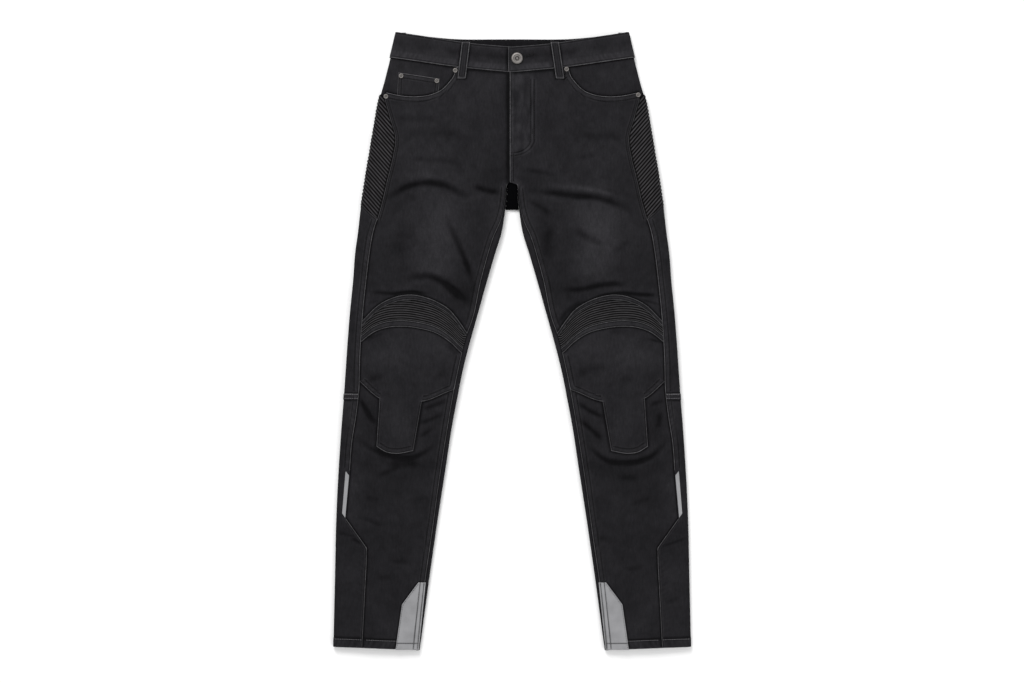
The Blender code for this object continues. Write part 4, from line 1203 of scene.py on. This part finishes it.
def knee_band(side, name, points, width):
    """Arched band of folded cloth, stitched along both edges and rubbed in the middle."""
    top = knee_line(points)
    bottom = knee_line(points, -width)
    lift = cloth_size("seam_lift")
    seams = [Seam(top, 0.0, 3.0, 0.14, 0.7), Seam(bottom, 0.0, 3.0, 0.14, 0.8)]
    cloth = Cloth(side, 1, seams, lift, -0.6)
    middle = (top[60] + bottom[60]) / 2
    lines = [beside(top, FIRST_ROW, middle), beside(bottom, FIRST_ROW, middle)]
    inner = inseam_line(top[0, 1], bottom[0, 1])
    outer = side_line(top[-1, 1], bottom[-1, 1])
    grid = patch(top, bottom, inner, outer, 2.0)
    return cloth_piece(f"{name}_{side}", cloth, [grid], "washed_denim", lines)


def knee_rib(side):
    """Accordion over the knee: ribs parallel to its lower edge, cut off by its upper one."""
    top = knee_line(KNEE_UPPER, -KNEE_BAND_UPPER)
    bottom = knee_line(KNEE_LOWER)
    v = np.linspace(0, 1, KNEE_RIBS * 8 + 1)[:, None, None]
    u = spaced(length_of(top), 2.6)
    grid = (1 - v) * at_shares(top, u)[None] + v * at_shares(bottom, u)[None]
    pitch = (top[:, 1].max() - bottom[:, 1].max()) / KNEE_RIBS
    beat = (grid[..., 1] - np.interp(grid[..., 0], bottom[:, 0], bottom[:, 1])) / pitch
    ridge, wear, fade = ribbed(beat, grid, 75)
    extra = (cloth_size("rib_height") * (1.2 * ridge - 0.3), 0.27 * wear, fade)
    cloth = Cloth(side, 1, [], 0.0, -cloth_size("wall"), (Shade(top, 1.8), Shade(bottom, 1.8)))
    return cloth_piece(f"knee_rib_{side}", cloth, [grid], "stretch_knit", extra=[extra])


def knee_panel(side):
    """Smooth knee panel and its tongue, one cloth, laid on the shin panel.

    The panel's grid and the tongue's grid share the row between the tongue's two top corners.
    """
    lift = cloth_size("seam_lift")
    top = knee_line(KNEE_LOWER, -KNEE_BAND_LOWER)
    bottom = knee_line(KNEE_END)
    left = bottom[:, 0] < TONGUE_TOP[0]
    right = bottom[:, 0] > TONGUE_TOP[1]
    corner_left = np.array((TONGUE_TOP[0], float(across(KNEE_END, TONGUE_TOP[0]))))
    corner_right = np.array((TONGUE_TOP[1], float(across(KNEE_END, TONGUE_TOP[1]))))
    part_left = np.vstack((bottom[left], corner_left))
    part_right = np.vstack((corner_right, bottom[right]))
    centre_x = np.linspace(TONGUE_TOP[0], TONGUE_TOP[1], 40)
    part_mid = np.stack((centre_x, across(KNEE_END, centre_x)), -1)
    end_x = np.linspace(TONGUE_END[0].x, TONGUE_END[-1].x, 40)
    end = np.stack((end_x, across(TONGUE_END, end_x)), -1)
    side_left = np.linspace(part_mid[0], end[0], 30)
    side_right = np.linspace(part_mid[-1], end[-1], 30)
    u = [spaced(length_of(part), GRID) for part in (part_left, part_mid, part_right)]
    parts = zip((part_left, part_mid, part_right), u, (0, 1, 1))
    low = np.vstack([at_shares(part, share)[first:] for part, share, first in parts])
    share = np.concatenate(([0], np.cumsum(np.hypot(*np.diff(low, axis=0).T))))
    share /= share[-1]
    high = at_shares(top, share)
    inseam = inseam_line(top[0, 1], low[0, 1])
    outer_edge = side_line(top[-1, 1], low[-1, 1])
    v = spaced(length_of(inseam), GRID)
    body = between(high, low, at_shares(inseam, v), at_shares(outer_edge, v), share, v)
    first = len(u[0]) - 1
    last = first + len(u[1]) - 1
    mid = body[-1, first:last + 1]
    tongue_v = spaced(length_of(side_left), GRID)
    foot = at_shares(end, u[1])
    tongue = mid[None] + (foot - mid)[None] * tongue_v[:, None, None]
    middle = Point(175, -30)
    mid_tongue = Point(192, -145)
    seams = [
        Seam(part_left, 0.0, 9.0, 0.14, 0.6), Seam(part_right, 0.0, 9.0, 0.14, 0.6),
        Seam(side_left, 0.0, 3.0, 0.12, 0.4), Seam(side_right, 0.0, 3.0, 0.12, 0.5),
        Seam(end, 0.0, 3.0, 0.06, 0.9), Seam(inseam, 0.0, 8.0, 0.12, 0.8),
    ]
    lines = [
        beside(part_left, FIRST_ROW, middle, 2), beside(part_left, SECOND_ROW, middle, 5),
        beside(part_right, FIRST_ROW, middle, 2), beside(part_right, SECOND_ROW, middle, 4),
        beside(side_left, FIRST_ROW, mid_tongue, 1.5), beside(side_right, FIRST_ROW, mid_tongue, 1.5),
        beside(end, FIRST_ROW, mid_tongue, 1.5), beside(end, 8.0, mid_tongue, 2.5),
        beside(inseam, FIRST_ROW, middle, 3), beside(inseam, SECOND_ROW, middle, 6),
    ]
    shades = (Shade(top, 2.2), Shade(outer_edge, 2.2))
    under = 0.02
    cloth = Cloth(side, 1, seams, lift, under, shades)
    # The body lies in the shin's plane at the top and climbs onto it towards its lower edge.
    rise = smoothstep(1 - (body[..., 1] - low[None, :, 1]) / KNEE_CLIMB)
    extra = [(-lift * (1 - rise), 0.0, 0.0), (0.0, 0.0, 0.0)]
    unders = [(cloth_size("wall") + under) * (rise - 1) + under, under]
    return cloth_piece(f"knee_panel_{side}", cloth, [body, tongue], "washed_denim", lines,
                       extra=extra, unders=unders,
                       nodes=[f"shin_tab_{side}"])


def shin_panel(side):
    """Front from the knee to the hem."""
    lift = cloth_size("seam_lift")
    top = knee_line(KNEE_END)
    bottom = line_across(HEM, INSEAM[-1].x, ANKLE_SEAM[-1].x)
    inner = inseam_line(top[0, 1], bottom[0, 1])
    stations = (top[-1, 1], -225.0, -298.0, -348.0, -378.0, bottom[-1, 1])
    outer = np.vstack([line_down(outer_x, a, b) for a, b in zip(stations, stations[1:])])
    grid = patch(top, bottom, inner, outer)
    middle = Point(200, -330)
    seams = [Seam(inner, lift, 8.0, 0.10, 0.7), Seam(bottom, 0.7 * lift, HEM_DEPTH, 0.14, 0.5)]
    lines = [beside(inner, FIRST_ROW, middle, 2), beside(inner, SECOND_ROW, middle, 2)]
    pale = [beside(bottom, HEM_DEPTH, middle, 2)]
    tongue = np.array([(TONGUE_TOP[0], -104.0)] + [tuple(q) for q in TONGUE_END] + [(TONGUE_TOP[1], -99.0)])
    reflector = np.array((ANKLE_REFLECTOR_INSEAM[0],) + ANKLE_REFLECTOR_EDGE, float)
    shades = (Shade(top, 2.6), Shade(outer, 2.0), Shade(tongue, 2.6), Shade(reflector, 1.6),
              Shade(beside(bottom, HEM_DEPTH + 1.8, middle), 1.6))
    cloth = Cloth(side, 1, seams, 0.0, -cloth_size("wall"), shades)
    return cloth_piece(f"shin_panel_{side}", cloth, [grid], "washed_denim", lines, pale=pale)


def reflective_strip(side):
    inner = np.linspace(STRIP_INNER[0], STRIP_INNER[1], 30)
    outer = np.linspace(STRIP_OUTER[0], STRIP_OUTER[1], 30)
    inner[:, 0] = unroll(inner[:, 0], inner[:, 1])
    outer[:, 0] = unroll(outer[:, 0], outer[:, 1])
    top = np.linspace(inner[0], outer[0], 8)
    bottom = np.linspace(inner[-1], outer[-1], 8)
    seams = [Seam(line, 0.0, 2.0, 0.03, 0.0) for line in (inner, outer, top, bottom)]
    cloth = Cloth(side, 1, seams, 1.0, 0.05)
    grid = patch(top, bottom, inner, outer, 2.0)
    return cloth_piece(f"reflective_strip_{side}", cloth, [grid], "reflective_cloth")


def ankle_reflector(side):
    """Light panel at the inner ankle, laid over the inseam and a little round the fold."""
    y = np.linspace(-406, -519.6, 60)
    near = down(ANKLE_REFLECTOR_INSEAM, y)
    inner = np.stack((unroll(near, y), y), -1)
    far = down(ANKLE_REFLECTOR_EDGE, y)
    outer = np.stack((unroll(far, y), y), -1)
    top = np.linspace(inner[0], outer[0], 12)
    bottom = np.linspace(inner[-1], outer[-1], 20)
    middle = Point(172, -480)
    seams = [Seam(line, 0.0, 2.5, 0.05, 0.0) for line in (inner, outer, top, bottom)]
    cloth = Cloth(side, 1, seams, 1.3, 0.1)
    lines = [
        beside(inner, 2.5, middle, 2), beside(inner, 8.9, middle, 1), beside(bottom, 11.2, middle, 0.5),
    ]
    return cloth_piece(f"ankle_reflector_{side}", cloth, [patch(top, bottom, inner, outer, 2.0)],
                       "reflective_cloth", lines, loose=[beside(outer, FIRST_ROW, middle, 2)])


def back_leg(side):
    """Back of one leg and half the seat, turned up over the inner fold to the inseam.

    The seat's grid and the leg's grid share a row at the fork, up to where the inner fold starts.
    """
    share = np.linspace(0, 1, 30)
    start = float(fold(NOTCH_Y).inner)
    seat = []
    for t in np.linspace(0, 1, 34):
        top_y = across(WAIST_SEAM, (float(fold(477.0).outer) - BACK_LIP) * (1 - share) + start * share)
        y = top_y + (NOTCH_Y - top_y) * t
        p = (fold(y).outer - BACK_LIP) * (1 - share) + start * share
        middle_y = WAIST_SEAM[0].y * (1 - t) + NOTCH_Y * t
        seat.append(np.vstack((np.stack((p, y), -1), ((start / 2, (y[-1] + middle_y) / 2), (0.0, middle_y)))))
    leg_y = np.linspace(NOTCH_Y, -519.0, 130)
    at = fold(leg_y)
    seam = 2 * (at.inner - at.quarter) - unroll(inseam_x(leg_y), leg_y)
    flat = (at.outer - BACK_LIP)[:, None] * (1 - share) + at.inner[:, None] * share
    turned = at.inner[:, None] + (seam - at.inner)[:, None] * np.arange(1, 13) / 12
    leg = np.concatenate((flat, turned), axis=1)
    leg = np.stack((leg, np.repeat(leg_y[:, None], leg.shape[1], 1)), -1)
    leg[-1, :, 1] = across(HEM, np.clip(leg[-1, :, 0], HEM[0].x, HEM[1].x))
    seat = np.array(seat)
    seat[-1, :30] = leg[0, :30]
    hem = leg[-1, :30][::-1]
    crotch = seat[:, -1]
    grids = [seat, leg]
    inseam = line_of(leg[:, -1])
    cloth = Cloth(side, -1, [], 0.0, -cloth_size("wall"), (Shade(inseam, 1.3),))
    extra = []
    for grid in grids:
        flat = grid.reshape(-1, 2)
        d, _ = off_line(flat, coarse(crotch))
        seat_groove = -0.5 * np.exp(-(((d - 7) / 2.5) ** 2))
        h, run = off_line(flat, coarse(hem))
        hem_groove = -0.5 * np.exp(-(((h - HEM_DEPTH) / 2.0) ** 2))
        hem_groove -= 0.25 * (1 + np.sin(run / 1.5)) * np.exp(-((h / 12) ** 2))
        extra.append(((seat_groove + hem_groove).reshape(grid.shape[:2]), 0.0, 0.0))
    return cloth_piece(f"back_leg_{side}", cloth, grids, "washed_denim", extra=extra)


def waistband_front(side):
    """Waistband from the centre, over the outer fold, to a lip on the back."""
    lift = cloth_size("seam_lift")
    seam_x = -SIDES[side] * LAP_EDGE
    at_top = fold(WAIST_TOP_FRONT[-1].y)
    at_low = fold(WAIST_SEAM[-1].y)
    far_top = float(at_top.outer + 2 * at_top.quarter + BACK_LIP)
    far_low = float(at_low.outer + 2 * at_low.quarter + BACK_LIP)
    top_p = np.linspace(seam_x, far_top, 160)
    low_p = np.linspace(seam_x, far_low, 160)
    top = np.stack((top_p, across(WAIST_TOP_FRONT, np.clip(np.abs(top_p), 0, 197))), -1)
    bottom = np.stack((low_p, across(WAIST_SEAM, np.clip(np.abs(low_p), 0, 204))), -1)
    inner = np.linspace(top[0], bottom[0], 30)
    outer = np.linspace(top[-1], bottom[-1], 30)
    grid = patch(top, bottom, inner, outer, 1.8)
    middle = Point(100, 483)
    seams = [
        Seam(top, 0.0, 4.0, 0.05, 0.5), Seam(bottom, 0.0, 11.0, 0.13, 0.9),
    ]
    lines = [beside(top, 2.4, middle, 2), beside(bottom, 2.2, middle, 2)]
    tacks = []
    if side == "l":
        seams.append(Seam(inner, 0.0, 3.0, 0.04, 1.0))
        lines.append(beside(inner, 2.4, middle, 3))
        tacks = [(BUTTONHOLE_END, math.radians(14), 12.0)]
    base = lift if side == "l" else lift - 0.25
    loop = np.array([tuple(q) for q in LOOPS[side]], float)
    shades = [Shade(loop - (LOOP_WIDTH / 2, 0), 2.4), Shade(loop + (LOOP_WIDTH / 2, 0), 2.4)]
    if side == "r":
        shades.append(Shade(inner, 4.0))
    down_band = (grid[..., 1] - grid[:1, :, 1]) / (grid[-1:, :, 1] - grid[:1, :, 1])
    # bent is a crease across the band: sunk a little and painted darker as shade.
    bent = np.exp(-(((down_band - 0.42) / 0.13) ** 2)) * (0.3 + 0.25 * ripple(grid[..., 0], 0, 17, 95))
    rubbed = 0.16 + 0.3 * smoothstep((down_band - 0.66) / 0.14) * (1 + 0.5 * ripple(grid[..., 0], 0, 4, 96))
    cloth = Cloth(side, 1, seams, base, -1.5, tuple(shades))
    p, y = grid[..., 0], grid[..., 1]
    # The buttonhole's slit is painted dark as shade.
    buttonhole_shade = 0.0
    if side == "l":
        tilt = (y - BUTTONHOLE_END.y) - 0.25 * (p - BUTTONHOLE_END.x)
        buttonhole_shade = 0.9 * np.exp(-((tilt / 1.5) ** 2) - ((p - BUTTONHOLE_END.x) / 7) ** 2)
    return cloth_piece(f"waistband_front_{side}", cloth, [grid], "washed_denim", lines, tacks,
                       extra=[(-0.5 * bent, 0.0, rubbed - bent - buttonhole_shade)])


def waistband_back():
    """Waistband of the seat in one piece: its inside shows above the front, painted darker as shade."""
    rows = []
    for t in np.linspace(0, 1, 16):
        y = WAIST_TOP_BACK[-1].y + (WAIST_SEAM[-1].y - WAIST_TOP_BACK[-1].y) * t
        x = np.linspace(0, float(fold(y).outer) - BACK_LIP, 70)
        rows.append(np.stack((x, across(WAIST_TOP_BACK, x) * (1 - t) + across(WAIST_SEAM, x) * t), -1))
    grid = np.array(rows)
    thick = 2.2
    edge = np.minimum(np.abs(grid[..., 1] - grid[:1, :, 1]), np.abs(grid[..., 1] - grid[-1:, :, 1]))
    groove = 0.25 * np.exp(-(((edge - 2.4) / 1.2) ** 2))
    outer_l = form("l", grid[..., 0], grid[..., 1], -groove, -1)
    inner_l = form("l", grid[..., 0], grid[..., 1], -thick + groove, -1)
    mirror = np.array((-1.0, 1.0, 1.0))
    outers = [outer_l, (outer_l * mirror)[:, ::-1]]
    inners = [inner_l, (inner_l * mirror)[:, ::-1]]
    grids = [grid, (grid * (-1, 1))[:, ::-1]]
    wears = [np.zeros(grid.shape[:2])] * 2
    # The inside of the back waistband lies in the hollow under the front: painted shade all over.
    wash_and_shades = [np.full(grid.shape[:2], -0.5)] * 2
    piece = wall("waistband_back_cloth", grids, outers, inners, False, wears, wash_and_shades)
    add_piece(piece, "facing_denim", ["waistband_back"])
    return piece


def belt_loop(side):
    """A folded strip across the waistband, bar-tacked at both ends."""
    top_end, low_end = LOOPS[side]
    line = np.linspace(top_end, low_end, 40)
    half = np.array((LOOP_WIDTH / 2, 0))
    inner = line - half
    outer = line + half
    top = np.linspace(inner[0], outer[0], 12)
    bottom = np.linspace(inner[-1], outer[-1], 12)
    middle = line[20]
    lift = cloth_size("seam_lift")
    seams = [Seam(inner, 0.0, 3.0, 0.06, 1.0), Seam(outer, 0.0, 3.0, 0.06, 1.0),
             Seam(top, 0.0, 3.0, 0.0, 0.8), Seam(bottom, 0.0, 3.0, 0.0, 0.8)]
    lines = [beside(inner, 2.6, middle, 5), beside(outer, 2.6, middle, 5)]
    tacks = [(line[3], 0.0, 10.5), (line[-4], 0.0, 10.5)]
    cloth = Cloth(side, 1, seams, lift + 1.7, lift + 0.1)
    grid = patch(top, bottom, inner, outer, 1.2)
    return cloth_piece(f"belt_loop_{side}", cloth, [grid], "washed_denim", lines, tacks)


def crotch_gusset():
    """Near-black strip between the legs, from the fronts' fork down and back along the floor.

    Its near black is partly the gusset's black cloth and partly painted shade of the hollow between the legs.
    """
    path = np.array(GUSSET_PATH, float)
    run = np.concatenate(([0], np.cumsum(np.hypot(*np.diff(path, axis=0).T))))
    t = np.linspace(0, run[-1], 70)
    y = through(t, run, path[:, 0])
    z = np.maximum(through(t, run, path[:, 1]), 0)
    ahead = np.gradient(np.stack((y, z), -1), axis=0)
    ahead /= np.linalg.norm(ahead, axis=1)[:, None]
    room = np.where(y < NOTCH_Y, section("inner", y), section("inner", NOTCH_Y)) - 0.5
    share = np.linspace(-1, 1, 21)
    x = room[:, None] * share[None]
    bulge = 0.5 * (1 - share**2)[None] * (z[:, None] > 0.3)
    outer = np.stack((x, np.repeat(y[:, None], 21, 1), z[:, None] + bulge), -1)
    inward = np.stack((np.zeros(len(y)), -ahead[:, 1], ahead[:, 0]), -1)
    inner = outer + 1.2 * inward[:, None]
    grid = np.stack((x, np.repeat(t[:, None], 21, 1)), -1)
    plain = [np.zeros(x.shape)]
    piece = wall("crotch_gusset_cloth", [grid], [outer], [inner], True, plain, plain)
    add_piece(piece, "gusset_cloth", ["crotch_gusset"])
    return piece


BUTTON_PROFILE = (
    (0, 1.75), (1.2, 1.75), (1.9, 1.9), (2.3, 2.55), (2.9, 2.85), (3.5, 2.7), (3.9, 2.15), (4.6, 1.95),
    (5.4, 2.05), (5.9, 2.5), (6.4, 2.95), (7.0, 3.05), (7.6, 2.9), (8.3, 2.75), (9.0, 2.3), (9.6, 1.7),
    (9.9, 1.1), (9.8, 0.6), (9.2, 0.25), (8.5, 0.1), (0, 0.1),
)
RIVET_PROFILE = (
    (0, 1.45), (0.5, 1.4), (0.85, 1.15), (1.15, 0.7), (1.7, 0.55), (2.1, 0.7), (2.5, 1.15), (2.95, 1.4),
    (3.4, 1.3), (3.8, 0.9), (4.0, 0.4), (3.9, 0.05), (0, 0.05),
)


# How bright the metal is rubbed, by radius.
BUTTON_RUB = (
    (0, 0.9), (1.3, 0.9), (2.0, 0.3), (2.8, 0.12), (3.6, 0.3), (4.3, 0.8), (5.4, 0.75), (6.4, 0.95),
    (8.6, 1.0), (9.4, 0.5), (9.9, 0.1),
)
RIVET_RUB = ((0, 0.8), (0.7, 0.7), (1.2, 0.35), (1.9, 0.4), (2.5, 1.0), (3.5, 1.0), (4.0, 0.3))


def lathe(name, profile, rubbed, side, place, lift, node, dimples=0):
    """A round piece: a profile of (radius, height) smoothed and turned about Z on the cloth.

    Optional dimples: the height dips by a cosine of the angle in the ring between two radii.
    """
    radius, height = np.array(profile, float).T
    knots = np.arange(len(profile))
    t = np.linspace(0, len(profile) - 1, 4 * (len(profile) - 1) + 1)
    radius = np.maximum(through(t, knots, radius), 0)
    height = through(t, knots, height)
    radius[[0, -1]] = 0.02
    angle = np.linspace(0, 2 * math.pi, 48, endpoint=False)
    reach = np.max(radius)
    ground = form(side, place[0] + reach * np.cos(angle), place[1] + reach * np.sin(angle), lift)[:, 2].max()
    ring = np.stack((np.cos(angle), np.sin(angle)), -1)
    centre = np.array((SIDES[side] * place[0], place[1]))
    xy = centre + radius[:, None, None] * ring[None]
    z = np.repeat((ground + height)[:, None], len(angle), 1)
    if dimples:
        band = np.exp(-(((radius - 4.9) / 0.8) ** 2))[:, None] * (height > 1)[:, None]
        z = z + 0.18 * band * np.cos(dimples * angle)[None]
    points = np.concatenate((xy, z[..., None]), -1).reshape(-1, 3)
    rows, columns = len(radius), len(angle)
    ids = np.arange(rows * columns).reshape(rows, columns)
    nxt = np.roll(ids, -1, 1)
    quads = np.stack((ids[:-1], ids[1:], nxt[1:], nxt[:-1]), -1).reshape(-1, 4)
    rub = np.interp(radius, *np.array(rubbed).T) * np.where(height > 0.5, 1, 0.1)
    piece = mesh_object(name, points, quads, np.ones(len(quads), bool), values={
        "rub": np.repeat(rub, columns)})
    return add_piece(piece, "old_gunmetal", [node])


def hardware():
    lift = cloth_size("seam_lift")
    lathe("tack_button_head", BUTTON_PROFILE, BUTTON_RUB, "l", BUTTON_PLACE, lift + 0.1, "tack_button", 24)
    for number, rivet in enumerate(RIVETS, 1):
        place = (rivet.x, rivet.y)
        name = f"rivet_{number}"
        lathe(f"{name}_head", RIVET_PROFILE, RIVET_RUB, rivet.side, place, rivet.lift, name)


class TrouserCloth(PropertyGroup):
    """Sizes of the cloth."""

    wall: FloatProperty(name="Wall", description="Thickness of one layer of denim", default=0.0012,
                        min=0.0005, max=0.003, precision=4, subtype="DISTANCE", unit="LENGTH")
    seam_lift: FloatProperty(name="Seam lift", description="How far a folded seam edge stands up",
                             default=0.0009, min=0.0, max=0.003, precision=4, subtype="DISTANCE",
                             unit="LENGTH")
    rib_height: FloatProperty(name="Rib height", description="Height of a padded rib", default=0.0015,
                              min=0.0, max=0.004, precision=4, subtype="DISTANCE", unit="LENGTH")


class TrouserSewing(PropertyGroup):
    """Sizes of the stitches."""

    pitch: FloatProperty(name="Pitch", description="From one stitch to the next", default=0.0038,
                         min=0.002, max=0.01, precision=4, subtype="DISTANCE", unit="LENGTH")
    stitch: FloatProperty(name="Stitch", description="Length of thread that shows in one stitch",
                          default=0.0031, min=0.001, max=0.01, precision=4, subtype="DISTANCE", unit="LENGTH")
    thread: FloatProperty(name="Thread", description="Thickness of the thread", default=0.0006,
                          min=0.0002, max=0.002, precision=4, subtype="DISTANCE", unit="LENGTH")


class TrouserColours(PropertyGroup):
    """Colours of the cloth, the thread and the metal."""

    denim: FloatVectorProperty(name="Denim", description="Dark washed denim", size=3, subtype="COLOR",
                               default=(0.0138, 0.0133, 0.0150), min=0, max=1)
    washed: FloatVectorProperty(name="Washed denim", description="Where the denim is faded", size=3,
                                subtype="COLOR", default=(0.0265, 0.0256, 0.0285), min=0, max=1)
    worn: FloatVectorProperty(name="Worn edge", description="Where the dye is rubbed off", size=3,
                              subtype="COLOR", default=(0.20, 0.195, 0.205), min=0, max=1)
    ribs: FloatVectorProperty(name="Ribs", description="Ribbed stretch cloth", size=3, subtype="COLOR",
                              default=(0.0150, 0.0138, 0.0148), min=0, max=1)
    reflective: FloatVectorProperty(name="Reflective cloth", description="Pale reflective panels", size=3,
                                    subtype="COLOR", default=(0.29, 0.29, 0.30), min=0, max=1)
    thread: FloatVectorProperty(name="Thread", description="Sewing thread", size=3, subtype="COLOR",
                                default=(0.012, 0.0115, 0.013), min=0, max=1)
    metal: FloatVectorProperty(name="Metal", description="Rubbed gunmetal", size=3, subtype="COLOR",
                               default=(0.24, 0.225, 0.215), min=0, max=1)


class TrouserStage(PropertyGroup):
    """Floor, light and camera."""

    floor: FloatVectorProperty(name="Floor", description="Colour of the floor", size=3, subtype="COLOR",
                               default=(0.97, 0.97, 0.97), min=0, max=1)
    sky: FloatProperty(name="Room light", description="Strength of the light from all round",
                       default=0.62, min=0, max=10)
    key: FloatProperty(name="Key light", description="Power of the large lamp above the waist",
                       default=95.0, min=0, max=2000, unit="POWER")
    fill: FloatProperty(name="Fill light", description="Power of the lamp on the far side",
                        default=34.0, min=0, max=2000, unit="POWER")
    lens: FloatProperty(name="Lens", description="Focal length of the camera in millimetres",
                        default=70.0, min=10, max=300)
    frame_width: FloatProperty(name="Frame width", description="Width that the picture takes in",
                               default=1.7203, min=0.1, max=10, subtype="DISTANCE", unit="LENGTH")


GROUPS = {
    "trousers_cloth": TrouserCloth,
    "trousers_sewing": TrouserSewing,
    "trousers_colours": TrouserColours,
    "trousers_stage": TrouserStage,
}


class TROUSERS_OT_fronts(Operator):
    """Make the two fronts, with the fly's stitching"""

    bl_idname = "trousers.fronts"
    bl_label = "Fronts"

    def execute(self, context):
        for side in SIDES:
            front_thigh(side)
        return {"FINISHED"}


class TROUSERS_OT_pockets(Operator):
    """Make the pocket facings and the coin pocket"""

    bl_idname = "trousers.pockets"
    bl_label = "Pockets"

    def execute(self, context):
        for side in SIDES:
            pocket_facing(side)
        coin_pocket()
        return {"FINISHED"}


class TROUSERS_OT_hips(Operator):
    """Make the ribbed panels at the hips"""

    bl_idname = "trousers.hips"
    bl_label = "Hip ribs"

    def execute(self, context):
        for side in SIDES:
            hip_rib(side)
        return {"FINISHED"}


class TROUSERS_OT_sides(Operator):
    """Make the side strips and their reflective tabs"""

    bl_idname = "trousers.sides"
    bl_label = "Sides"

    def execute(self, context):
        for side in SIDES:
            side_upper(side)
            side_lower(side)
            reflective_strip(side)
        return {"FINISHED"}


class TROUSERS_OT_knees(Operator):
    """Make the knees: bands, accordion ribs and the panel with its tongue"""

    bl_idname = "trousers.knees"
    bl_label = "Knees"

    def execute(self, context):
        for side in SIDES:
            knee_band(side, "knee_band_upper", KNEE_UPPER, KNEE_BAND_UPPER)
            knee_rib(side)
            knee_band(side, "knee_band_lower", KNEE_LOWER, KNEE_BAND_LOWER)
            knee_panel(side)
        return {"FINISHED"}


class TROUSERS_OT_shins(Operator):
    """Make the shins and the pale panels at the ankles"""

    bl_idname = "trousers.shins"
    bl_label = "Shins"

    def execute(self, context):
        for side in SIDES:
            shin_panel(side)
            ankle_reflector(side)
        return {"FINISHED"}


class TROUSERS_OT_backs(Operator):
    """Make the backs of the legs, the seat and the gusset"""

    bl_idname = "trousers.backs"
    bl_label = "Backs"

    def execute(self, context):
        for side in SIDES:
            back_leg(side)
        crotch_gusset()
        return {"FINISHED"}


class TROUSERS_OT_waist(Operator):
    """Make the waistband and its belt loops"""

    bl_idname = "trousers.waist"
    bl_label = "Waistband"

    def execute(self, context):
        waistband_back()
        for side in SIDES:
            waistband_front(side)
            belt_loop(side)
        return {"FINISHED"}


class TROUSERS_OT_hardware(Operator):
    """Make the tack button and the rivets"""

    bl_idname = "trousers.hardware"
    bl_label = "Hardware"

    def execute(self, context):
        hardware()
        return {"FINISHED"}


class TROUSERS_OT_stage(Operator):
    """Make the floor, the lights and the camera"""

    bl_idname = "trousers.stage"
    bl_label = "Stage"

    def execute(self, context):
        look = context.scene.trousers_stage
        floor_plane(look)
        lights(look)
        camera(look)
        return {"FINISHED"}


def floor_plane(look):
    half = 6000.0
    points = np.array(((-half, -half, 0), (half, -half, 0), (half, half, 0), (-half, half, 0)), float)
    points[:, 2] = -0.3
    floor = mesh_object("floor", points, np.array(((0, 1, 2, 3),)), np.zeros(1, bool))
    g = Graph("floor_paint")
    g.set(Base_Color=(*look.floor, 1), Roughness=0.9)
    floor.data.materials.append(g.material)


def lights(look):
    world = bpy.data.worlds.new("room")
    world.use_nodes = True
    background = world.node_tree.nodes["Background"]
    background.inputs["Color"].default_value = (1, 1, 1, 1)
    background.inputs["Strength"].default_value = look.sky
    bpy.context.scene.world = world
    lamps = (
        ("key", (-0.9, 2.6, 2.4), 1.6, look.key),
        ("fill", (1.8, -1.8, 2.6), 2.2, look.fill),
    )
    for name, place, size, power in lamps:
        data = bpy.data.lights.new(name, "AREA")
        data.size = size
        data.energy = power
        lamp = bpy.data.objects.new(name, data)
        lamp.location = place
        lamp.rotation_mode = "QUATERNION"
        lamp.rotation_quaternion = (-Vector(place)).to_track_quat("-Z", "Y")
        bpy.context.scene.collection.objects.link(lamp)


def camera(look):
    data = bpy.data.cameras.new("camera")
    data.lens = look.lens
    view = bpy.data.objects.new("camera", data)
    height = look.frame_width * look.lens / data.sensor_width
    view.location = (*CAMERA_SHIFT, height + PICTURE_HEIGHT)
    bpy.context.scene.collection.objects.link(view)
    bpy.context.scene.camera = view
    bpy.context.scene.view_settings.view_transform = "Standard"


OPERATORS = (
    TROUSERS_OT_fronts,
    TROUSERS_OT_pockets,
    TROUSERS_OT_hips,
    TROUSERS_OT_sides,
    TROUSERS_OT_knees,
    TROUSERS_OT_shins,
    TROUSERS_OT_backs,
    TROUSERS_OT_waist,
    TROUSERS_OT_hardware,
    TROUSERS_OT_stage,
)


class TROUSERS_PT_sidebar(Panel):
    """Lists the settings and the operators"""

    bl_label = "Trousers"
    bl_space_type = "VIEW_3D"
    bl_region_type = "UI"
    bl_category = "Trousers"

    def draw(self, context):
        for name, group in GROUPS.items():
            box = self.layout.box()
            for key in group.__annotations__:
                box.prop(getattr(context.scene, name), key)
        for operator in OPERATORS:
            self.layout.operator(operator.bl_idname)


def register():
    for name, group in GROUPS.items():
        bpy.utils.register_class(group)
        setattr(bpy.types.Scene, name, PointerProperty(type=group))
    for operator in OPERATORS:
        bpy.utils.register_class(operator)
    bpy.utils.register_class(TROUSERS_PT_sidebar)


def unregister():
    bpy.utils.unregister_class(TROUSERS_PT_sidebar)
    for operator in reversed(OPERATORS):
        bpy.utils.unregister_class(operator)
    for name, group in GROUPS.items():
        delattr(bpy.types.Scene, name)
        bpy.utils.unregister_class(group)


def main():
    register()
    bpy.ops.trousers.fronts()
    bpy.ops.trousers.pockets()
    bpy.ops.trousers.hips()
    bpy.ops.trousers.sides()
    bpy.ops.trousers.knees()
    bpy.ops.trousers.shins()
    bpy.ops.trousers.backs()
    bpy.ops.trousers.waist()
    bpy.ops.trousers.hardware()
    bpy.ops.trousers.stage()


if __name__ == "__main__":
    main()
